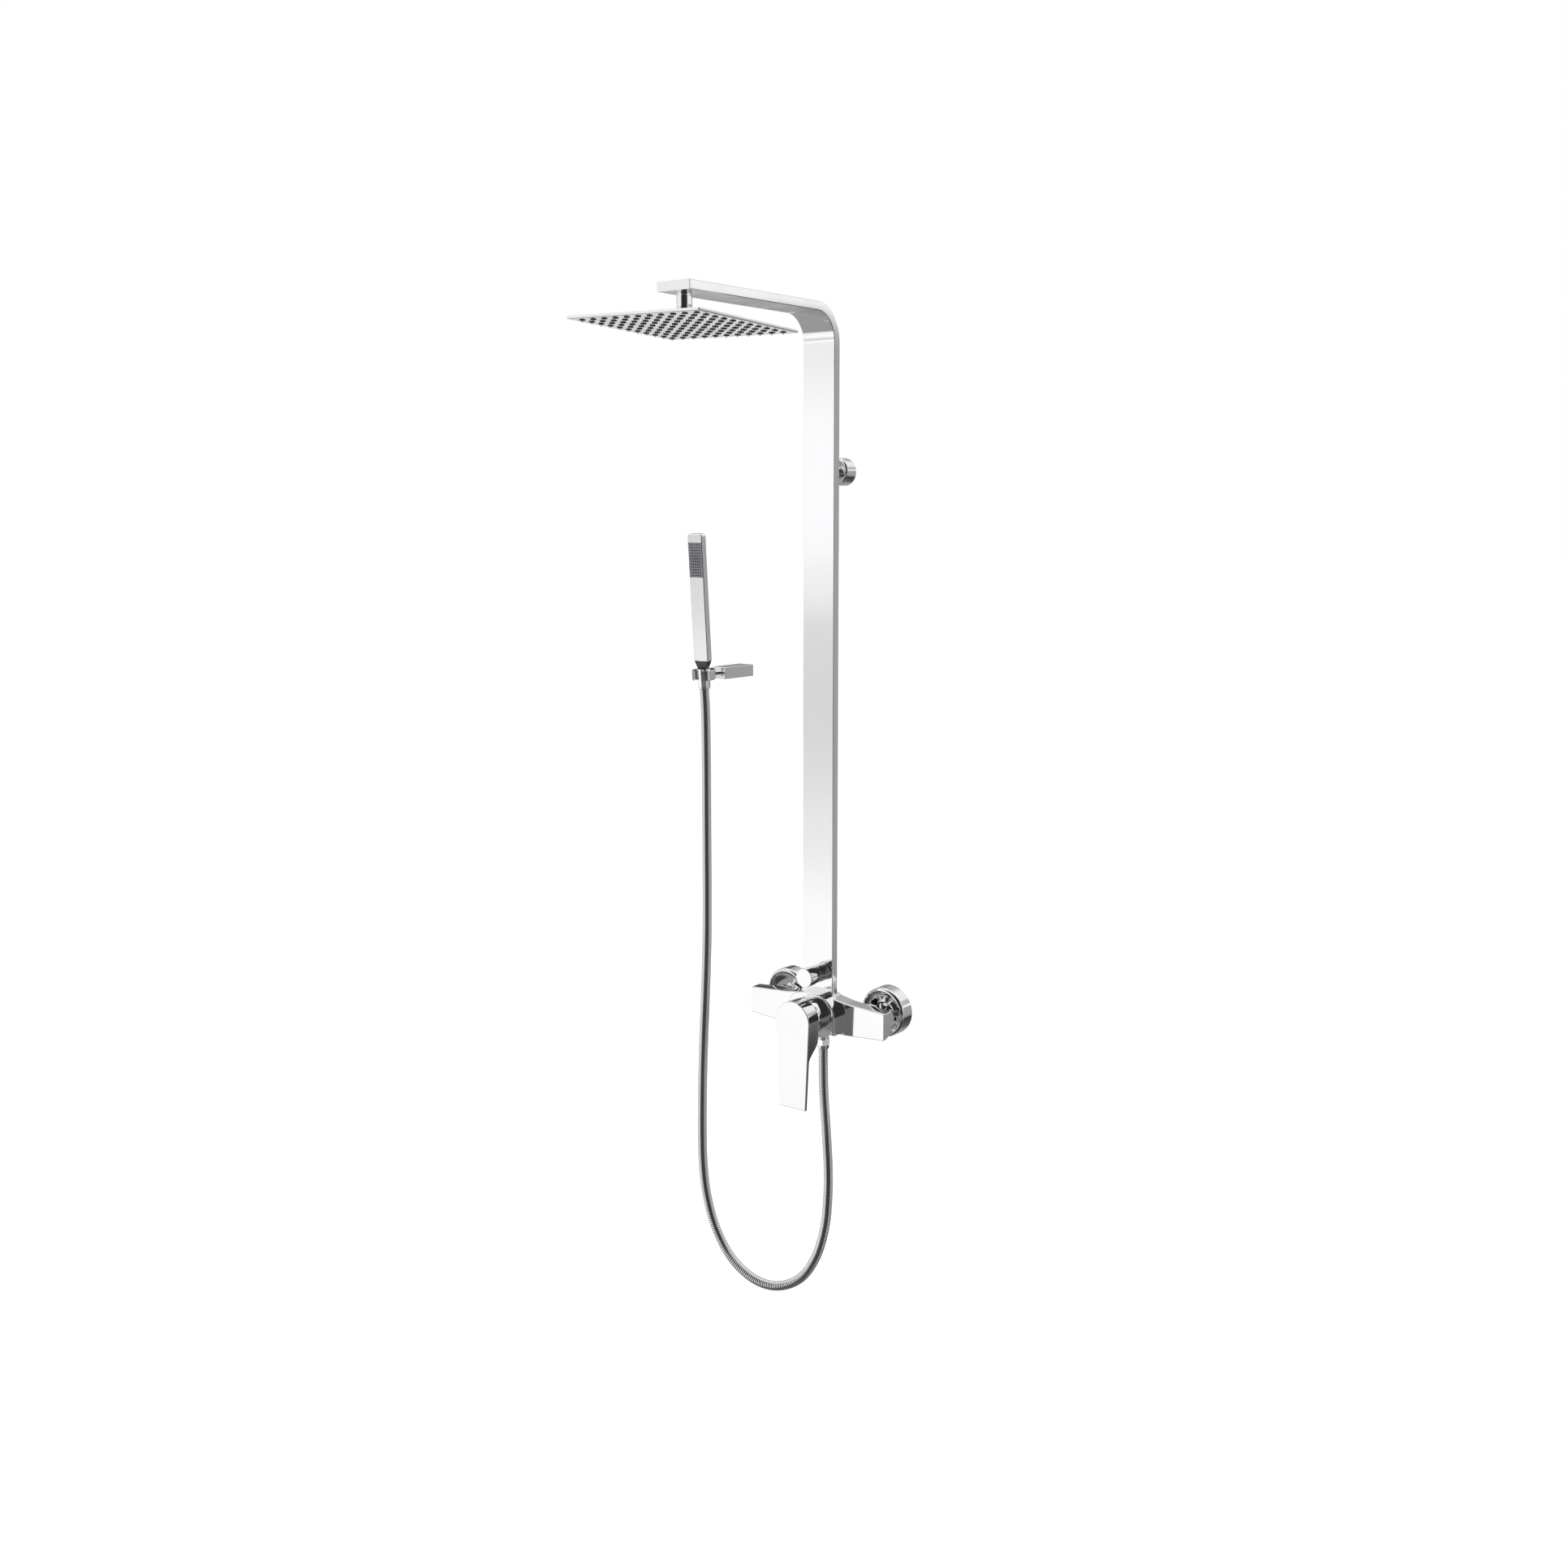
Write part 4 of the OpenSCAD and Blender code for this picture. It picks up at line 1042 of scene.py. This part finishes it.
CAD_LOOKS = {
    "chrome": CHROME, "steel": STEEL, "brass": BRASS, "silicone": SILICONE,
    "washer_rubber": RUBBER, "white_plastic": WHITE_PLASTIC, "spray_grey": SPRAY_GREY,
    "dark_collar": COLLAR_DARK, "index_red": INDEX_RED, "hose_metal": HOSE_STEEL,
}


def paint_cad_nodes():
    """Gives every node kept from the CAD the look of its material slot."""
    for part in frame["record"]["subparts"]:
        obj = frame["nodes"].get(part["node"])
        look = CAD_LOOKS[part["material_slot"]]
        if not obj.material_slots:
            obj.data.materials.append(look)
        for entry in obj.material_slots:
            entry.material = look


# ---------- stage ----------

def studio():
    """Bright surroundings in front, grey behind, and a tall dark band where the camera stands.

    The band is softer for low rays that have been reflected more than once, so that
    the corner between the mixer's boss and wing isn't black.
    """
    world = bpy.data.worlds.new("studio")
    bpy.context.scene.world = world
    world.use_nodes = True
    nodes, links = world.node_tree.nodes, world.node_tree.links
    background = nodes["Background"]
    source = nodes.new("ShaderNodeTexCoord")

    def along(direction, stops):
        """Brightness by how far a ray points along a direction."""
        dot = nodes.new("ShaderNodeVectorMath")
        dot.operation = "DOT_PRODUCT"
        dot.inputs[1].default_value = Vector(direction).normalized()
        links.new(source.outputs["Generated"], dot.inputs[0])
        scale = nodes.new("ShaderNodeMapRange")
        scale.inputs["From Min"].default_value = -1
        links.new(dot.outputs["Value"], scale.inputs["Value"])
        ramp = nodes.new("ShaderNodeValToRGB")
        ramp.color_ramp.interpolation = "EASE"
        points = ramp.color_ramp.elements
        while len(points) < len(stops):
            points.new(0.5)
        for point, (at, value) in zip(points, stops):
            point.position = (at + 1) / 2
            point.color = (value, value, value, 1)
        links.new(scale.outputs["Result"], ramp.inputs["Fac"])
        return ramp.outputs["Color"]

    def blend(factor, a, b):
        made = nodes.new("ShaderNodeMix")
        made.data_type = "RGBA"
        ends = [s for s in made.inputs if s.type == "RGBA"]
        links.new(factor, made.inputs["Factor"])
        links.new(a, ends[0])
        links.new(b, ends[1])
        return [s for s in made.outputs if s.type == "RGBA"][0]

    def times(a, b):
        made = nodes.new("ShaderNodeVectorMath")
        made.operation = "MULTIPLY"
        links.new(a, made.inputs[0])
        links.new(b, made.inputs[1])
        return made.outputs["Vector"]

    full = nodes.new("ShaderNodeRGB").outputs["Color"]
    full.default_value = (1, 1, 1, 1)
    height = along((0, 0, 1), [
        (-1, 0.35), (-0.52, 0.35), (-0.42, 1.0), (-0.3, 1.1), (-0.24, 1.1), (-0.19, 0.93),
        (-0.15, 0.8), (-0.11, 0.74), (-0.07, 0.77), (-0.045, 0.95), (-0.01, 1.1), (0.04, 1.1),
        (0.11, 0.93), (0.3, 0.95), (1, 1.0),
    ])
    rear_right = along((0, 0, 1), [
        (-1, 0.3), (-0.4, 0.05), (-0.365, 0.06), (-0.335, 0.22), (-0.29, 0.3), (-0.2, 0.36),
        (0.1, 0.38), (0.125, 1.0), (0.18, 1.0), (0.24, 0.5), (0.34, 0.5), (0.45, 0.9), (1, 1.05),
    ])
    rear_left = along((0, 0, 1), [
        (-1, 0.35), (-0.3, 0.35), (-0.22, 0.9), (-0.15, 0.9), (-0.125, 0.33), (0.1, 0.33),
        (0.2, 0.42), (0.5, 0.45), (0.7, 1.0), (1, 1.0),
    ])
    to_right = along((1, 0, 0), [(-1, 0), (-0.2, 0), (0.1, 1), (1, 1)])
    front = along((0, -1, 0), [(-1, 0), (-0.35, 0), (0.1, 1), (1, 1)])
    band, soft_band = [
        along((0.79, 0.60, 0), [(-1, 1), (-0.85, 1), (-0.6, dim), (0.6, dim), (0.85, 1), (1, 1)])
        for dim in (0.03, 0.15)
    ]
    low_ray = along((0, 0, 1), [(-1, 1), (-0.26, 1), (-0.12, 0), (1, 0)])
    near_camera = along((0.60, -0.79, 0), [(-1, 0), (0.0, 0), (0.3, 1), (1, 1)])
    wing_shade = along((-0.66, 0.69, 0.30), [(-1, 1), (0.98, 1), (0.992, 0.15), (1, 0.15)])
    rear = times(blend(to_right, rear_left, rear_right), wing_shade)
    path = nodes.new("ShaderNodeLightPath")
    mirrored = nodes.new("ShaderNodeMath")
    mirrored.operation = "GREATER_THAN"
    mirrored.inputs[1].default_value = 1.5
    links.new(path.outputs["Ray Depth"], mirrored.inputs[0])
    dark = blend(times(mirrored.outputs["Value"], low_ray), band, soft_band)
    light = times(blend(front, rear, height), blend(near_camera, full, dark))
    pick = nodes.new("ShaderNodeMix")
    pick.data_type = "RGBA"
    colours = [s for s in pick.inputs if s.type == "RGBA"]
    links.new(path.outputs["Is Camera Ray"], pick.inputs["Factor"])
    links.new(light, colours[0])
    colours[1].default_value = (1, 1, 1, 1)
    links.new([s for s in pick.outputs if s.type == "RGBA"][0], background.inputs["Color"])
    background.inputs["Strength"].default_value = 1.0


def area_light(name, place, target, size, power):
    """A softbox for the plastics, not seen in the metal."""
    data = bpy.data.lights.new(name, "AREA")
    data.shape = "RECTANGLE"
    data.size, data.size_y = size
    data.energy = power
    obj = bpy.data.objects.new(name, data)
    obj.location = place
    obj.rotation_euler = (Vector(target) - Vector(place)).to_track_quat("-Z", "Y").to_euler()
    obj.visible_glossy = False
    bpy.context.scene.collection.objects.link(obj)


def floor():
    """A wide pale floor, in metres below the part and out to each side."""
    drop = -0.9
    wide = 60
    plane = mesh_object("floor", [
        (-wide / MM, -wide / MM, drop / MM), (wide / MM, -wide / MM, drop / MM),
        (wide / MM, wide / MM, drop / MM), (-wide / MM, wide / MM, drop / MM),
    ], [(0, 1, 2, 3)])
    r = Recipe("pale_floor", (0.9, 0.9, 0.9), 0.0, 0.8)
    r.roughness(r.noise(4), 0.7, 0.9)
    r.shader.inputs["Emission Color"].default_value = (1, 1, 1, 1)
    r.shader.inputs["Emission Strength"].default_value = 0.6
    plane.data.materials.append(r.material)
    plane.visible_glossy = False


column_bar()
arm_end_cap()
ball_nut()
swivel_ball()
head_hub()
head_shell()
head_face()
head_nozzles()
bracket()
mixer_body()
cartridge_cover()
lever()
diverter()
escutcheons()
inlet_nuts()
hose_outlet()
cone_nut()
handset_collar()
handset_shell()
spray_plate()
holder()
paint_cad_nodes()
studio()
area_light("left_softbox", (-1.8, -2.2, 1.4), (0, -0.1, 0.4), (1.6, 2.2), 12)
area_light("top_softbox", (0.4, -0.8, 2.6), (0, -0.1, 0.4), (1.8, 1.8), 10)
floor()
bpy.context.scene.view_settings.view_transform = "Standard"
